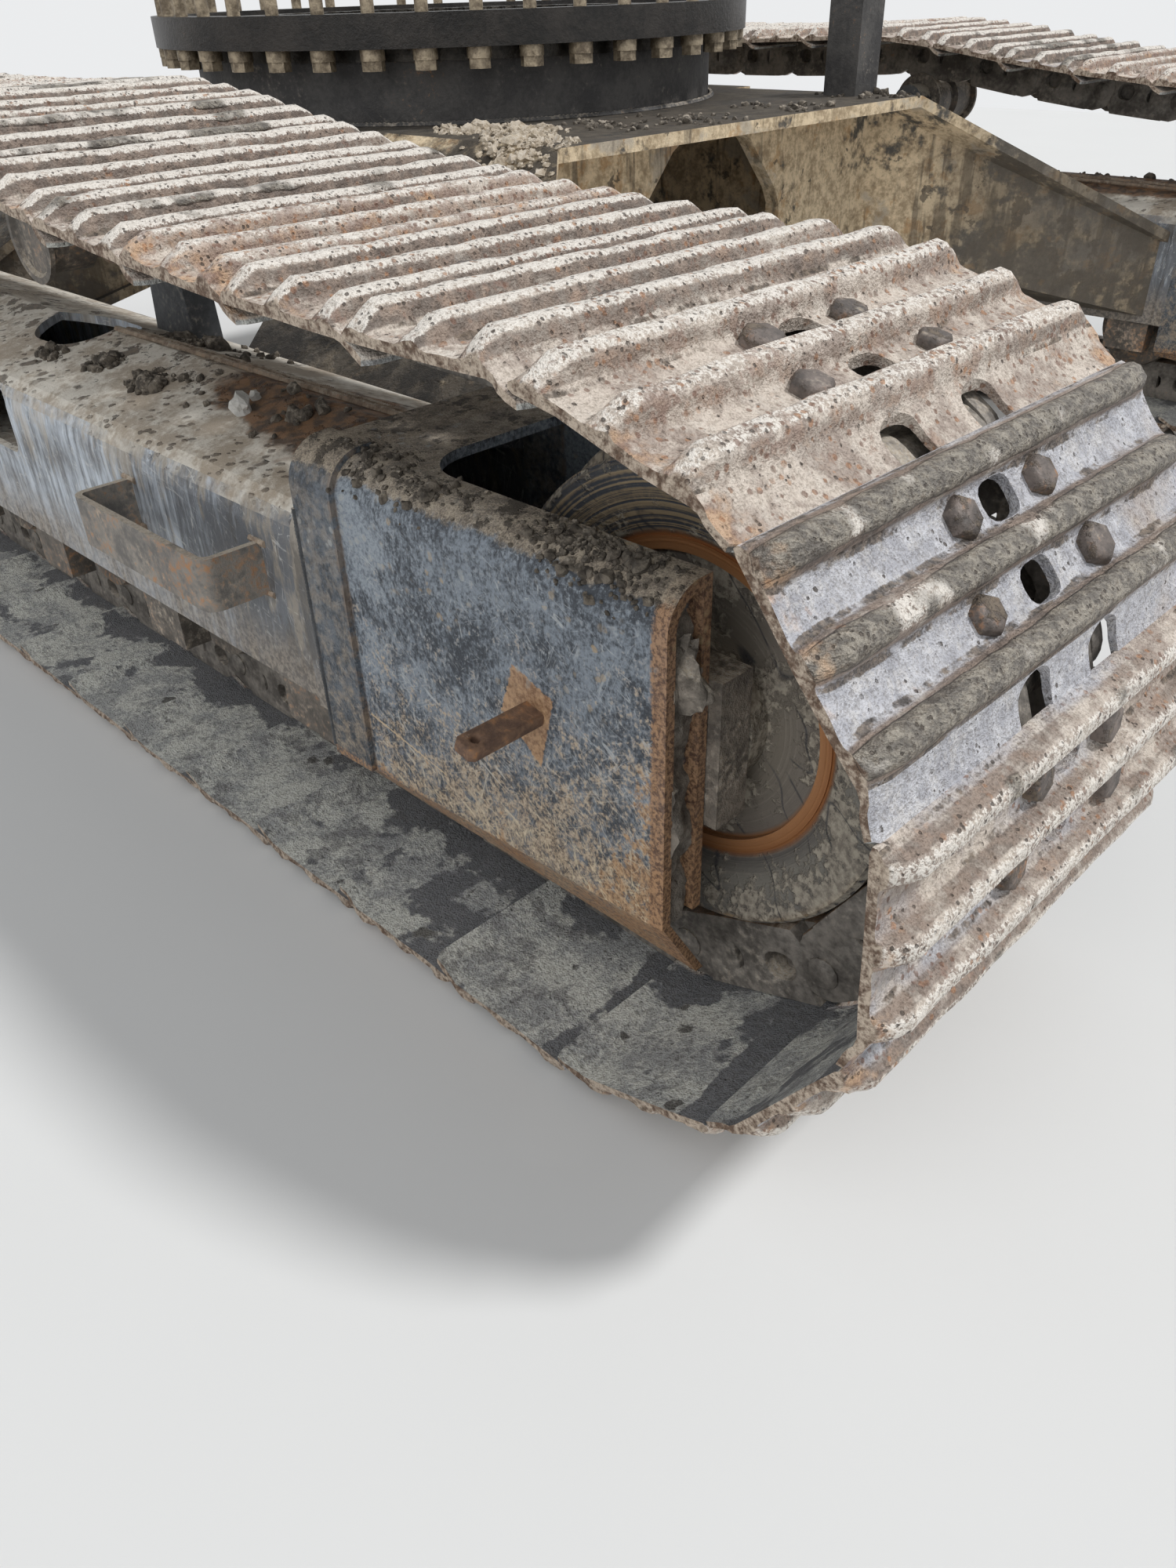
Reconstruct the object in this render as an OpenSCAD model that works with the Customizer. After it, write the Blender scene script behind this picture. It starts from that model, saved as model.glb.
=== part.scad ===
// Undercarriage of a crawler excavator: two crawlers, the carbody between them and the slewing ring.
// +X is forward (the idler end), +Y is left and +Z is up. The origin is on the slewing axis, at the ground.
// Each crawler is drawn once, as the left one, in its own frame: x forward, y outboard from the
// centre plane of its chain, z up. The right one is its mirror image.

/* [Machine] */
// Distance between the centre planes of the two chains
track_gauge = 2620; // [2560:10:2700]
// Distance from the slewing axis forward to the idler axle
idler_x = 1974; // [1966:1:1982]
// Distance from the slewing axis back to the sprocket axle
sprocket_x = 1958; // [1950:1:1966]

/* [Chain and shoes] */
// Nominal distance between two pins of the chain
link_pitch = 203.2; // [200:0.1:206]
// Width of the track shoes
shoe_w = 600; // [500:10:650]
// Thickness of a shoe's plate
plate_t = 12; // [10:1:14]
// Height of a grouser above the plate
grouser_h = 22; // [18:1:26]
// Width of a grouser at its tip
grouser_tip = 17; // [12:1:22]
// Width of a grouser at its root
grouser_root = 40; // [32:1:46]
// Distance along the shoe between two grousers, as a share of the link pitch
grouser_share = 0.375; // [0.36:0.005:0.38]
// Distance from the pins out to the shoe's seat
pin_to_shoe = 50; // [46:1:54]
// Distance from the pins in to the rail that the rollers run on
pin_to_rail = 46; // [42:1:50]
// Clear width between the two rails of a chain
rail_gap = 92; // [86:1:96]
// Width of one rail
rail_w = 46; // [40:1:50]
// How far the upper run hangs below a straight line between idler and carrier roller
front_sag = 35; // [20:1:45]
// How far the upper run hangs between the carrier rollers
mid_sag = 14; // [5:1:20]

/* [Idler] */
// Radius of the idler's tread, where the rails run
idler_r = 260; // [256:1:264]
// Height of the idler's centre flange above its tread
idler_flange_h = 18; // [12:1:22]
// Width of the idler over its treads
idler_w = 196; // [184:1:204]
// Width of the centre flange at its root
idler_flange_w = 76; // [60:1:84]
// Radius of the idler's axle
idler_axle_r = 36; // [30:1:42]

/* [Sprocket and final drive] */
// Number of teeth, two to each link
sprocket_teeth = 21; // [21:1:21]
// Height of the sprocket axle above the ground
sprocket_z = 487; // [480:1:500]
// Thickness of the toothed ring
sprocket_t = 70; // [56:1:80]
// Radius of the sprocket's bore
sprocket_bore_r = 150; // [140:1:160]
// Radius of the chain's bushings
bushing_r = 29; // [26:1:31]
// Radius of the final drive's drum
drum_r = 205; // [180:1:220]
// How far the drum stands outboard of the chain's centre plane
drum_out = 225; // [190:1:250]
// Radius of the travel motor
motor_r = 120; // [100:1:140]
// How far the travel motor stands inboard of the chain's centre plane
motor_in = 265; // [220:1:280]

/* [Rollers] */
// Number of track rollers on each side
roller_count = 8; // [7:1:8]
// Radius of a track roller's tread
roller_r = 88; // [80:1:92]
// Height of a track roller's flanges
roller_flange_h = 17; // [12:1:20]
// Radius of a track roller's shaft
roller_shaft_r = 28; // [22:1:29]
// Gap between a roller's tread and the rail
roller_gap = 0.3; // [0.1:0.1:0.6]
// Distance of the first track roller behind the idler axle
roller_first = 590; // [570:5:620]
// Distance of the last track roller ahead of the sprocket axle
roller_last = 500; // [480:5:540]
// Distance of the carrier rollers from the slewing axis
carrier_x = 608; // [580:1:640]
// Radius of a carrier roller's tread
carrier_r = 58; // [52:1:64]
// Height of the rail over the carrier rollers, above the ground
carrier_rail_z = 780; // [765:1:790]
// How far the chain's line is raised over the front carrier roller, so that its straight links clear
front_lift = 11; // [10:1:16]
// How far the chain's line is raised over the rear carrier roller
rear_lift = 3; // [2:1:8]

/* [Track frame] */
// Half the width of the track frame's box
frame_half_w = 205; // [190:1:215]
// Height of the box's underside
frame_z0 = 262; // [256:1:270]
// Height of the box's top at its middle
frame_z1 = 560; // [545:1:570]
// Height of the box's floor, above the rollers that stand up between its walls
floor_z = 336; // [330:1:345]
// How far the top falls from its middle to its shoulder
frame_fall = 38; // [20:1:50]
// Radius of the rounded shoulder
shoulder_r = 50; // [30:5:60]
// Thickness of the box's plates
frame_t = 14; // [10:1:18]
// Thickness of the flanges under the box that the rollers bolt to
flange_t = 14; // [10:1:18]
// Distance of the collar at the box's front end behind the idler axle
collar_back = 500; // [480:5:520]
// Length of the collar along the frame
collar_t = 22; // [16:1:30]
// How far the collar stands proud of the box
collar_proud = 12; // [6:1:16]
// Distance of the oval hole in the box's top behind the idler axle
hole_back = 1480; // [1460:1:1500]
// Width of the oval hole
hole_w = 160; // [140:2:170]
// Distance of the opening in the box's outer wall behind the idler axle
wall_hole_back = 1399; // [1380:1:1420]
// Length of the opening in the box's outer wall
wall_hole_l = 260; // [200:10:300]
// Height of the opening in the box's outer wall
wall_hole_h = 105; // [90:1:115]
// Distance from the sprocket axle forward to the box's rear end
frame_to_sprocket = 430; // [410:5:450]
// Radius of the round plate that carries the final drive
bracket_r = 225; // [215:1:235]
// How far the bracket's straight edges reach ahead of the sprocket axle
bracket_neck = 60; // [40:5:80]
// Thickness of the round plate
bracket_t = 32; // [24:1:36]
// Distance of the round plate inboard of the chain's centre plane
bracket_in = 86; // [80:1:92]
// Radius of the round plate's bore
bracket_bore_r = 145; // [135:1:150]

/* [Idler guard] */
// Height of the guard's top plate
guard_z1 = 602; // [590:1:612]
// Height of the guard's lower edge at its rear
guard_z0 = 188; // [180:1:200]
// How much higher the guard's lower edge stands at its front
guard_rise = 30; // [20:1:40]
// How far the lip bent in along the lower edge reaches inward at the front
lip_in = 58; // [40:1:66]
// How far the lip reaches down at the front
lip_drop = 100; // [70:1:110]
// The lip's size at the rear, as a share of its size at the front
lip_rear_share = 0.15; // [0.1:0.05:0.3]
// Distance that the guard reaches ahead of the idler axle
guard_front = 80; // [60:5:110]
// Thickness of the guard's outer plate
guard_t = 12; // [8:1:16]
// Half the width of the slot round the idler
guard_slot_half = 150; // [140:1:152]
// Clearance between the idler's flange and the slot's closed end
slot_clear = 66; // [50:1:74]
// Radius of the slot's rounded corners at its closed end
slot_corner_r = 70; // [40:5:90]
// Radius of the guard's rounded shoulder
guard_corner_r = 45; // [35:1:50]
// Length of the raised band at the guard's rear end
guard_band_l = 80; // [60:5:100]
// How far the raised band stands proud of the guard
guard_band_t = 7; // [4:1:10]

/* [Step] */
// Length of the step along the frame
step_len = 360; // [300:10:420]
// How far the step stands out of the frame
step_out = 88; // [70:1:92]
// Height of the step's flat bar
step_h = 72; // [50:1:90]
// Thickness of the step's flat bar
step_t = 10; // [6:1:14]
// Distance of the step's front leg behind the idler axle
step_back = 620; // [580:5:660]

/* [Stub bar] */
// Distance of the stub bar behind the idler axle
stub_back = 128; // [110:1:150]
// Height of the stub bar above the ground
stub_z = 385; // [370:1:400]
// Width of the stub bar
stub_w = 46; // [36:1:56]
// How far the stub bar stands out of the guard
stub_out = 88; // [60:1:92]

/* [Carbody] */
// Height of the deck's top face
deck_z = 790; // [770:1:800]
// Thickness of the deck and belly plates
deck_t = 24; // [16:1:28]
// Half the length of the deck
deck_half_l = 980; // [920:10:1020]
// Half the width of the flat deck, where the legs begin to slope
deck_half_w = 600; // [560:10:640]
// Width of the deck outside the pedestal
deck_rim = 30; // [20:2:40]
// Radius of the hole in the deck
deck_hole_r = 300; // [280:5:340]
// How far the front and rear walls stand back from the deck's edge
wall_back = 140; // [120:5:160]
// Thickness of the front and rear walls
wall_t = 38; // [30:1:44]
// Half the width of the opening in the front and rear walls
hatch_half = 250; // [220:5:280]
// Width of the opening's slanting upper corners
hatch_corner_w = 150; // [120:5:180]
// Height of the opening's slanting upper corners
hatch_corner_h = 160; // [140:5:180]
// Height of wall left between the opening and the deck
hatch_top = 16; // [10:1:30]
// Height of the belly plate's lower face
belly_z = 440; // [420:5:460]
// Thickness of the carbody's webs
web_t = 18; // [12:1:24]
// Where a leg starts on the deck, from the slewing axis
leg_x0 = 420; // [380:10:460]
// Where a leg meets the track frame, from the slewing axis, nearest point
leg_foot_x0 = 640; // [600:10:680]
// Clear length of track frame between a front leg and the collar
leg_to_collar = 12; // [8:1:30]

/* [Slewing ring] */
// Radius between the two rings
race_r = 644; // [638:1:648]
// Radial width of the ring that turns
ring_flange = 74; // [70:1:80]
// Height of the turning ring's lower face
ring_z0 = 930; // [925:1:940]
// Thickness of the turning ring
ring_t = 60; // [50:1:70]
// Radial clearance between the two rings
race_gap = 0.08; // [0.04:0.01:0.09]
// Radial width of the fixed ring, to its tooth tips
gear_ring = 96; // [90:1:100]
// Number of the fixed ring's internal teeth
gear_teeth = 90; // [80:1:96]
// Depth of the internal teeth
gear_depth = 24; // [18:1:28]
// How far the pedestal's wall lies inside the race
pedestal_step = 12; // [8:1:20]
// Thickness of the pedestal's wall
pedestal_t = 26; // [18:1:34]
// Number of slewing bolts
bolt_count = 40; // [36:1:44]
// How far the slewing bolts' circle lies inside the turning ring's edge
bolt_inset = 29; // [27:1:32]
// Radius of a slewing bolt
bolt_r = 13.5; // [12:0.5:15]
// Radial clearance of a slewing bolt in its hole
bolt_gap = 1.5; // [1.2:0.1:1.8]
// How far a slewing bolt stands out of the ring
bolt_stand = 60; // [40:5:80]

/* [Swivel] */
// Radius of the swivel's body
swivel_r = 110; // [100:2:120]
// Height of the swivel's body
swivel_h = 380; // [360:5:400]
// Radius of the swivel's rotor
rotor_r = 62; // [54:1:70]
// Radial clearance of the rotor in the body
swivel_gap = 0.08; // [0.04:0.01:0.09]
// Radius of the rotor's head
rotor_head_r = 120; // [112:2:130]
// Height of the rotor's head
rotor_head_h = 46; // [36:1:56]
// Height of the port block on the rotor's head
rotor_port_h = 60; // [40:5:80]

/* [Post] */
// Width of the square post on the deck
post_w = 90; // [80:2:100]
// Height of the post
post_h = 200; // [120:10:200]
// Distance of the post behind the deck's front edge
post_back = 170; // [140:5:200]
// Distance of the post in from where the left leg begins
post_in = 50; // [48:1:80]

/* [Hidden] */
$fn = 64;

shoe_color = "#8f8a80";
steel_color = "#6d675e";
frame_color = "#3d434b";
body_color = "#4b463c";
rust_color = "#8a5a34";
bolt_color = "#a59a80";

// Heights of the chain above the ground
lug_to_pin = grouser_h + plate_t + pin_to_shoe;
rail_z = lug_to_pin + pin_to_rail;
// Straight links wrap the idler with their middles on its tread and their pins farther out
idler_pin_r = norm([idler_r + pin_to_rail + 0.5, link_pitch / 2]);
idler_z = lug_to_pin + idler_pin_r;
sprocket_pin_r = link_pitch * sprocket_teeth / 2 / (2 * PI);
carrier_z = carrier_rail_z - carrier_r;
guard_slot_back = idler_r + idler_flange_h + slot_clear;
run_end_x = -sprocket_x + roller_last - 150;

// The chain's path through its pins, as the loop runs forward along the top, down round the idler,
// back along the ground and up round the sprocket
function arc(cx, cz, r, a0, a1, n) =
  [for (i = [0 : n]) let (a = a0 + (a1 - a0) * i / n) [cx + r * cos(a), cz + r * sin(a)]];
function sag(p, q, depth, n) =
  [for (i = [1 : n - 1]) let (t = i / n) p + (q - p) * t - [0, 4 * depth * t * (1 - t)]];
idler_top = [idler_x, idler_z + idler_pin_r];
carrier_front = [carrier_x, carrier_rail_z + pin_to_rail + front_lift];
carrier_rear = [-carrier_x, carrier_rail_z + pin_to_rail + rear_lift];
ring_r = race_r + ring_flange;
bolt_circle_r = ring_r - bolt_inset;
gear_tip_r = race_r - gear_ring;
pedestal_r = race_r - pedestal_step;
climb = atan2(sprocket_z - sprocket_pin_r - lug_to_pin, sprocket_x + run_end_x);
path = concat(
  arc(idler_x, idler_z, idler_pin_r, 90, -90, 40),
  [[run_end_x, lug_to_pin]],
  arc(-sprocket_x, sprocket_z, sprocket_pin_r, 270 - climb, 90, 40),
  [carrier_rear],
  sag(carrier_rear, carrier_front, mid_sag, 8),
  [carrier_front],
  sag(carrier_front, idler_top, front_sag, 12),
  [idler_top]);
path_len = [for (i = 0, total = 0; i < len(path);
  total = total + (i + 1 < len(path) ? norm(path[i + 1] - path[i]) : 0), i = i + 1) total];
loop_len = path_len[len(path) - 1];
link_count = round(loop_len / link_pitch);
pitch = loop_len / link_count;
function along(s) =
  let (t = (s % loop_len + loop_len) % loop_len,
    i = max([for (j = [0 : len(path) - 2]) if (path_len[j] <= t) j]))
  path[i] + (path[i + 1] - path[i]) * (t - path_len[i]) / (path_len[i + 1] - path_len[i]);

// Pins, the direction of each link and its outward normal
chain_phase = -23;
pins = [for (k = [0 : link_count - 1]) along(chain_phase + k * pitch)];
// A pin that all but touches the ground run lies in it
function settle(p) = p[1] < lug_to_pin + 2 ? [p[0], lug_to_pin] : p;
function pin(k) = settle(pins[(k + link_count) % link_count]);
function link_dir(k) = (pin(k + 1) - pin(k)) / norm(pin(k + 1) - pin(k));
function out(d) = [-d[1], d[0]];
function on_link(k, u, v) = pin(k) + link_dir(k) * u + out(link_dir(k)) * v;
// A point beside pin k, v outward from the chain's line, on the mitre of its two links
function mitre(k, v) =
  let (n0 = out(link_dir(k - 1)), n1 = out(link_dir(k)), m = (n0 + n1) / norm(n0 + n1))
  pin(k) + m * v / (m * n0);
// Pins where the loop turns by more than a degree: its inner faces need no others
bent = [for (k = [0 : link_count - 1]) if (norm(link_dir(k) - link_dir(k - 1)) > 0.02) k];
// How far a rail is let into the shoes' plates
rail_in = 4;

// Grousers of one shoe, from its leading edge: share of the pitch of each centre line
grousers = [0.5 - grouser_share, 0.5, 0.5 + grouser_share];
plate_v = pin_to_shoe + plate_t;
tip_v = plate_v + grouser_h;
function shoe_outline(k) =
  let (root = grouser_root / 2, tip = grouser_tip / 2, a = grousers[0] * pitch,
    b = grousers[1] * pitch, c = grousers[2] * pitch)
  [on_link(k, a - tip, tip_v), on_link(k, a + tip, tip_v), on_link(k, a + root, plate_v),
   on_link(k, b - root, plate_v), on_link(k, b - tip, tip_v), on_link(k, b + tip, tip_v),
   on_link(k, b + root, plate_v), on_link(k, c - root, plate_v), on_link(k, c - tip, tip_v),
   on_link(k, c + tip, tip_v), on_link(k, pitch, plate_v)];

// The left crawler's frame, and its mirror image on the right
module crawler(side) {
  mirror([0, side == "right" ? 1 : 0, 0]) translate([0, track_gauge / 2, 0]) children();
}
// A side profile in x and z, w wide about y
module profile(w, y = 0) {
  translate([0, y + w / 2, 0]) rotate([90, 0, 0]) linear_extrude(w) children();
}
// Turned about the y axis at a wheel's centre
module wheel_at(x, z) {
  translate([x, 0, z]) rotate([-90, 0, 0]) children();
}

// Track: shoes and two rails as one closed loop
module track(side) {
  color(shoe_color) crawler(side) {
    profile(shoe_w) difference() {
      polygon([for (k = [0 : link_count - 1]) each shoe_outline(k)]);
      polygon([for (k = bent) mitre(k, pin_to_shoe)]);
    }
    for (s = [-1, 1]) profile(rail_w, s * (rail_gap + rail_w) / 2) difference() {
      polygon([for (k = bent) mitre(k, pin_to_shoe + rail_in)]);
      polygon([for (k = bent) mitre(k, -pin_to_rail)]);
    }
  }
}

// Idler: two treads either side of the guide flange, dished faces with a rubbed ring and a hub
idler_gap = 0.3;
module idler(side) {
  half = idler_w / 2;
  flange = idler_flange_w / 2;
  rim = idler_r - 30;
  ring_out = 178;
  ring_in = 164;
  dish = 20;
  hub_r = 96;
  half_section = [[idler_axle_r + idler_gap, 0], [idler_axle_r + idler_gap, half],
    [hub_r, half], [hub_r, half - dish - 6], [ring_in, half - dish - 6], [ring_in, half - dish + 2],
    [ring_out, half - dish + 2], [ring_out, half - dish], [rim, half - 4], [idler_r - 6, half],
    [idler_r, half - 6], [idler_r, flange], [idler_r + idler_flange_h, flange - 10],
    [idler_r + idler_flange_h, 0]];
  color(steel_color) crawler(side) wheel_at(idler_x, idler_z)
    for (s = [0, 1]) mirror([0, 0, s]) rotate_extrude($fn = 96) polygon(half_section);
}

// Idler yoke: axle, a sliding block at each end, and the fork back to the recoil rod
module idler_yoke(side) {
  block_y0 = idler_w / 2 + 4;
  block_t = guard_slot_half - 2 - block_y0;
  block_l = 190;
  block_h = 170;
  fork_x = guard_slot_back - 6;
  color(steel_color) crawler(side) {
    wheel_at(idler_x, idler_z)
      translate([0, 0, -block_y0 - block_t]) cylinder(r = idler_axle_r, h = 2 * (block_y0 + block_t));
    for (s = [-1, 1]) profile(block_t, s * (block_y0 + block_t / 2)) {
      translate([idler_x - block_l / 2, idler_z - block_h / 2]) square([block_l, block_h]);
      translate([idler_x - fork_x, idler_z - 45]) square([fork_x, 90]);
    }
    profile(2 * (block_y0 + block_t)) translate([idler_x - fork_x, idler_z - 45]) square([28, 90]);
    translate([idler_x - collar_back - 60, 0, idler_z]) rotate([0, 90, 0])
      cylinder(r = 44, h = collar_back + 62 - fork_x);
  }
}

// Sprocket: toothed ring, two seats to a link, on a dished web bolted to the drum
module sprocket(side) {
  seat_turn = atan2(pins_rear[1] - sprocket_z, pins_rear[0] + sprocket_x);
  color(steel_color) crawler(side) difference() {
    wheel_at(-sprocket_x, sprocket_z) union() {
      translate([0, 0, -sprocket_t / 2]) cylinder(r = sprocket_pin_r + 14, h = sprocket_t);
      translate([0, 0, -sprocket_t / 2 - 10]) cylinder(r = drum_r + 40, h = sprocket_t + 20);
    }
    wheel_at(-sprocket_x, sprocket_z) cylinder(r = sprocket_bore_r, h = 3 * sprocket_t, center = true);
    for (i = [0 : sprocket_teeth - 1]) rotate_about_sprocket(seat_turn + i * 360 / sprocket_teeth)
      translate([sprocket_pin_r, 0, 0]) rotate([90, 0, 0])
        cylinder(r = bushing_r + 1, h = 3 * sprocket_t, center = true, $fn = 32);
  }
}
pins_rear = pins[floor((loop_len / 2 + 300) / pitch)];
module rotate_about_sprocket(a) {
  translate([-sprocket_x, 0, sprocket_z]) rotate([0, -a, 0]) children();
}

// Final drive: travel motor inboard, planetary drum outboard, one stepped turning
module final_drive(side) {
  seat_y = -sprocket_t / 2 - 10;
  color(frame_color) crawler(side) wheel_at(-sprocket_x, sprocket_z) rotate_extrude($fn = 96) polygon([
    [0, -motor_in], [motor_r - 20, -motor_in], [motor_r, -motor_in + 20], [motor_r, bracket_y0 - 2],
    [bracket_bore_r - 0.3, bracket_y0 - 2], [bracket_bore_r - 0.3, bracket_y1],
    [bracket_bore_r + 50, bracket_y1], [bracket_bore_r + 50, seat_y - 2],
    [sprocket_bore_r - 0.3, seat_y - 2], [sprocket_bore_r - 0.3, -seat_y], [drum_r, -seat_y],
    [drum_r, drum_out - 60], [drum_r - 18, drum_out - 22], [drum_r - 60, drum_out - 8],
    [drum_r - 66, drum_out], [0, drum_out]]);
}

// Track frame: a hollow box with a rounded shoulder, a drive bracket at the rear, and a collar
bracket_y1 = -bracket_in;
bracket_y0 = bracket_y1 - bracket_t;
frame_front = idler_x - collar_back;
frame_rear = -sprocket_x + frame_to_sprocket;
function frame_section(inset) =
  let (w = frame_half_w - inset, z0 = frame_z0 + inset, z1 = frame_z1 - inset,
    zs = z1 - frame_fall - shoulder_r, r = shoulder_r)
  concat([[-w, z0], [w, z0]],
    [for (i = [0 : 4]) let (a = i * 20) [w - r + r * cos(a), zs + r * sin(a)]],
    [[0, z1]],
    [for (i = [4 : -1 : 0]) let (a = 180 - i * 20) [-w + r + r * cos(a), zs + r * sin(a)]]);
module frame_bar(x0, x1, inset) {
  translate([x0, 0, 0]) rotate([90, 0, 90]) linear_extrude(x1 - x0) polygon(frame_section(inset));
}
// The wall's opening stands on the box's floor level
wall_hole_z0 = floor_z + frame_t + 40;
module rounded(l, h, r) {
  translate([r, 0]) square([l - 2 * r, h]);
  translate([0, r]) square([l, h - 2 * r]);
  for (x = [r, l - r], z = [r, h - r]) translate([x, z]) circle(r = r, $fn = 32);
}
module track_frame(side) {
  hole_x = idler_x - hole_back;
  hole_r = hole_w / 2;
  color(frame_color) crawler(side) {
    difference() {
      frame_bar(frame_rear, frame_front, 0);
      frame_bar(frame_rear + frame_t, frame_front + 1, frame_t);
      translate([frame_rear - 1, frame_t - frame_half_w, frame_z0 - 1])
        cube([frame_front - frame_rear + 2, 2 * (frame_half_w - frame_t), floor_z - frame_z0 + 1]);
      translate([hole_x, 0, frame_z1 - 80]) {
        for (s = [-1, 1]) translate([s * 25, 0, 0]) cylinder(r = hole_r, h = 120);
        translate([-25, -hole_r, 0]) cube([50, 2 * hole_r, 120]);
      }
      profile(2 * frame_t + 40, frame_half_w) translate([idler_x - wall_hole_back - wall_hole_l, wall_hole_z0])
        rounded(wall_hole_l, wall_hole_h, 22);
    }
    translate([frame_rear, 1 - frame_half_w, floor_z])
      cube([frame_front - frame_rear, 2 * frame_half_w - 2, frame_t]);
    difference() {
      frame_bar(frame_front - collar_t, frame_front, -collar_proud);
      frame_bar(frame_front - collar_t - 1, frame_front + 1, frame_t);
      translate([frame_front - collar_t - 1, frame_t - frame_half_w, frame_z0 - collar_proud - 1])
        cube([collar_t + 2, 2 * (frame_half_w - frame_t), floor_z - frame_z0 + collar_proud]);
    }
    profile(bracket_y1 - bracket_y0, (bracket_y0 + bracket_y1) / 2) difference() {
      union() {
        translate([-sprocket_x, sprocket_z]) circle(r = bracket_r, $fn = 96);
        polygon([[frame_rear + 10, floor_z], [frame_rear + 10, frame_z1 - frame_fall],
          [-sprocket_x + bracket_neck, sprocket_z + bracket_r - 10],
          [-sprocket_x + bracket_neck, sprocket_z - bracket_r + 10]]);
      }
      translate([-sprocket_x, sprocket_z]) circle(r = bracket_bore_r, $fn = 96);
    }
    for (s = [-1, 1]) translate([frame_rear, s * (frame_half_w - 30) - 30, frame_z0 - flange_t])
      cube([frame_front - frame_rear, 60, flange_t]);
  }
}

// Idler guard: bent outer plates with a lip turned in below, inner plates beside the idler, a raised
// band at the rear and a top plate with a slot
guard_w = frame_half_w + 5;
// How far the lip's upper edge is let into the outer plate
fold_in = 0.5;
// Half of the guard's cross-section, shrunk by the inset
module guard_half(inset, z0, y0) {
  w = guard_w - inset;
  z1 = guard_z1 - inset;
  r = guard_corner_r - inset;
  translate([y0, z0]) square([w - y0, z1 - r - z0]);
  translate([y0, z1 - r - 1]) square([w - r - y0, r + 1]);
  translate([w - r, z1 - r]) intersection() {
    circle(r = r);
    translate([-1, -1]) square(r + 2);
  }
}
module idler_guard(side) {
  x0 = frame_front;
  x1 = idler_x + guard_front;
  low = guard_z0 - 2;
  tip = [0, -lip_in, -lip_drop];
  fold = [[x0, guard_w, guard_z0], [x1, guard_w, guard_z0 + guard_rise]];
  lip = [for (p = [fold[0] + tip * lip_rear_share, fold[1] + tip, fold[1], fold[0]])
    p - [0, fold_in, 0]];
  color(frame_color) crawler(side) {
    for (s = [0, 1]) mirror([0, s, 0]) {
      difference() {
        translate([x0, 0, 0]) rotate([90, 0, 90]) union() {
          linear_extrude(x1 - x0) difference() {
            guard_half(0, low, guard_slot_half);
            guard_half(guard_t, low - 1, guard_slot_half + guard_t);
          }
          linear_extrude(guard_band_l) difference() {
            guard_half(-guard_band_t, low, guard_slot_half);
            guard_half(1, low - 1, guard_slot_half - 1);
          }
        }
        profile(guard_w, guard_w / 2 + guard_slot_half - 1)
          polygon([[x0 - 1, low - 1], [x1 + 1, low - 1], [x1 + 1, low + guard_rise], [x0 - 1, low]]);
      }
      block([for (p = lip) p - [0, guard_t - 2 * fold_in, 0]], lip);
    }
    translate([x0, 0, guard_z1 - guard_t]) linear_extrude(guard_t) difference() {
      translate([0, -guard_slot_half - 1])
        square([collar_back - guard_slot_back + slot_corner_r, 2 * guard_slot_half + 2]);
      translate([collar_back - guard_slot_back, slot_corner_r - guard_slot_half])
        square([2 * slot_corner_r, 2 * (guard_slot_half - slot_corner_r)]);
      translate([collar_back - guard_slot_back + slot_corner_r, -guard_slot_half])
        square([slot_corner_r + 1, 2 * guard_slot_half]);
      for (s = [-1, 1])
        translate([collar_back - guard_slot_back + slot_corner_r, s * (guard_slot_half - slot_corner_r)])
          circle(r = slot_corner_r, $fn = 48);
    }
  }
}

// Track rollers: double-flanged wheels with their end collars, hung under the box
roller_span = (idler_x - roller_first) - (-sprocket_x + roller_last);
module track_rollers(side) {
  half = rail_gap / 2 + rail_w + 3;
  collar_y = frame_half_w - 58;
  z = rail_z + roller_r + roller_gap;
  color(steel_color) crawler(side) for (i = [0 : roller_count - 1]) {
    x = idler_x - roller_first - i * roller_span / (roller_count - 1);
    wheel_at(x, z) for (s = [0, 1]) mirror([0, 0, s]) rotate_extrude($fn = 48) polygon([
      [0, 0], [0, collar_y + 50], [roller_shaft_r, collar_y + 50], [roller_shaft_r, half + 16],
      [roller_r + roller_flange_h - 4, half + 16],
      [roller_r + roller_flange_h, half + 4], [roller_r, half], [roller_r, rail_gap / 2 - 3],
      [roller_r - 20, rail_gap / 2 - 8], [roller_r - 20, 0]]);
    for (s = [-1, 1]) translate([x - 55, s * (collar_y + 30) - 22, z - 44])
      cube([110, 44, 44 + frame_z0 - flange_t - z]);
  }
}

// Carrier rollers: small flanged wheels under the upper run, one end face outboard
module carrier_rollers(side) {
  half = rail_gap / 2 + rail_w + 2;
  color(steel_color) crawler(side) for (x = [-carrier_x, carrier_x])
    wheel_at(x, carrier_z) rotate_extrude($fn = 48) polygon([
      [0, 41 - frame_half_w], [26, 41 - frame_half_w], [26, -half - 12], [carrier_r + 13, -half - 12],
      [carrier_r + 13, -half - 2], [carrier_r, -half], [carrier_r, -20], [carrier_r - 12, -14],
      [carrier_r - 12, 14], [carrier_r, 20], [carrier_r, half], [carrier_r + 13, half + 2],
      [carrier_r + 13, half + 10], [carrier_r + 3, half + 10], [carrier_r - 3, half + 4], [0, half + 4]]);
}

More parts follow.
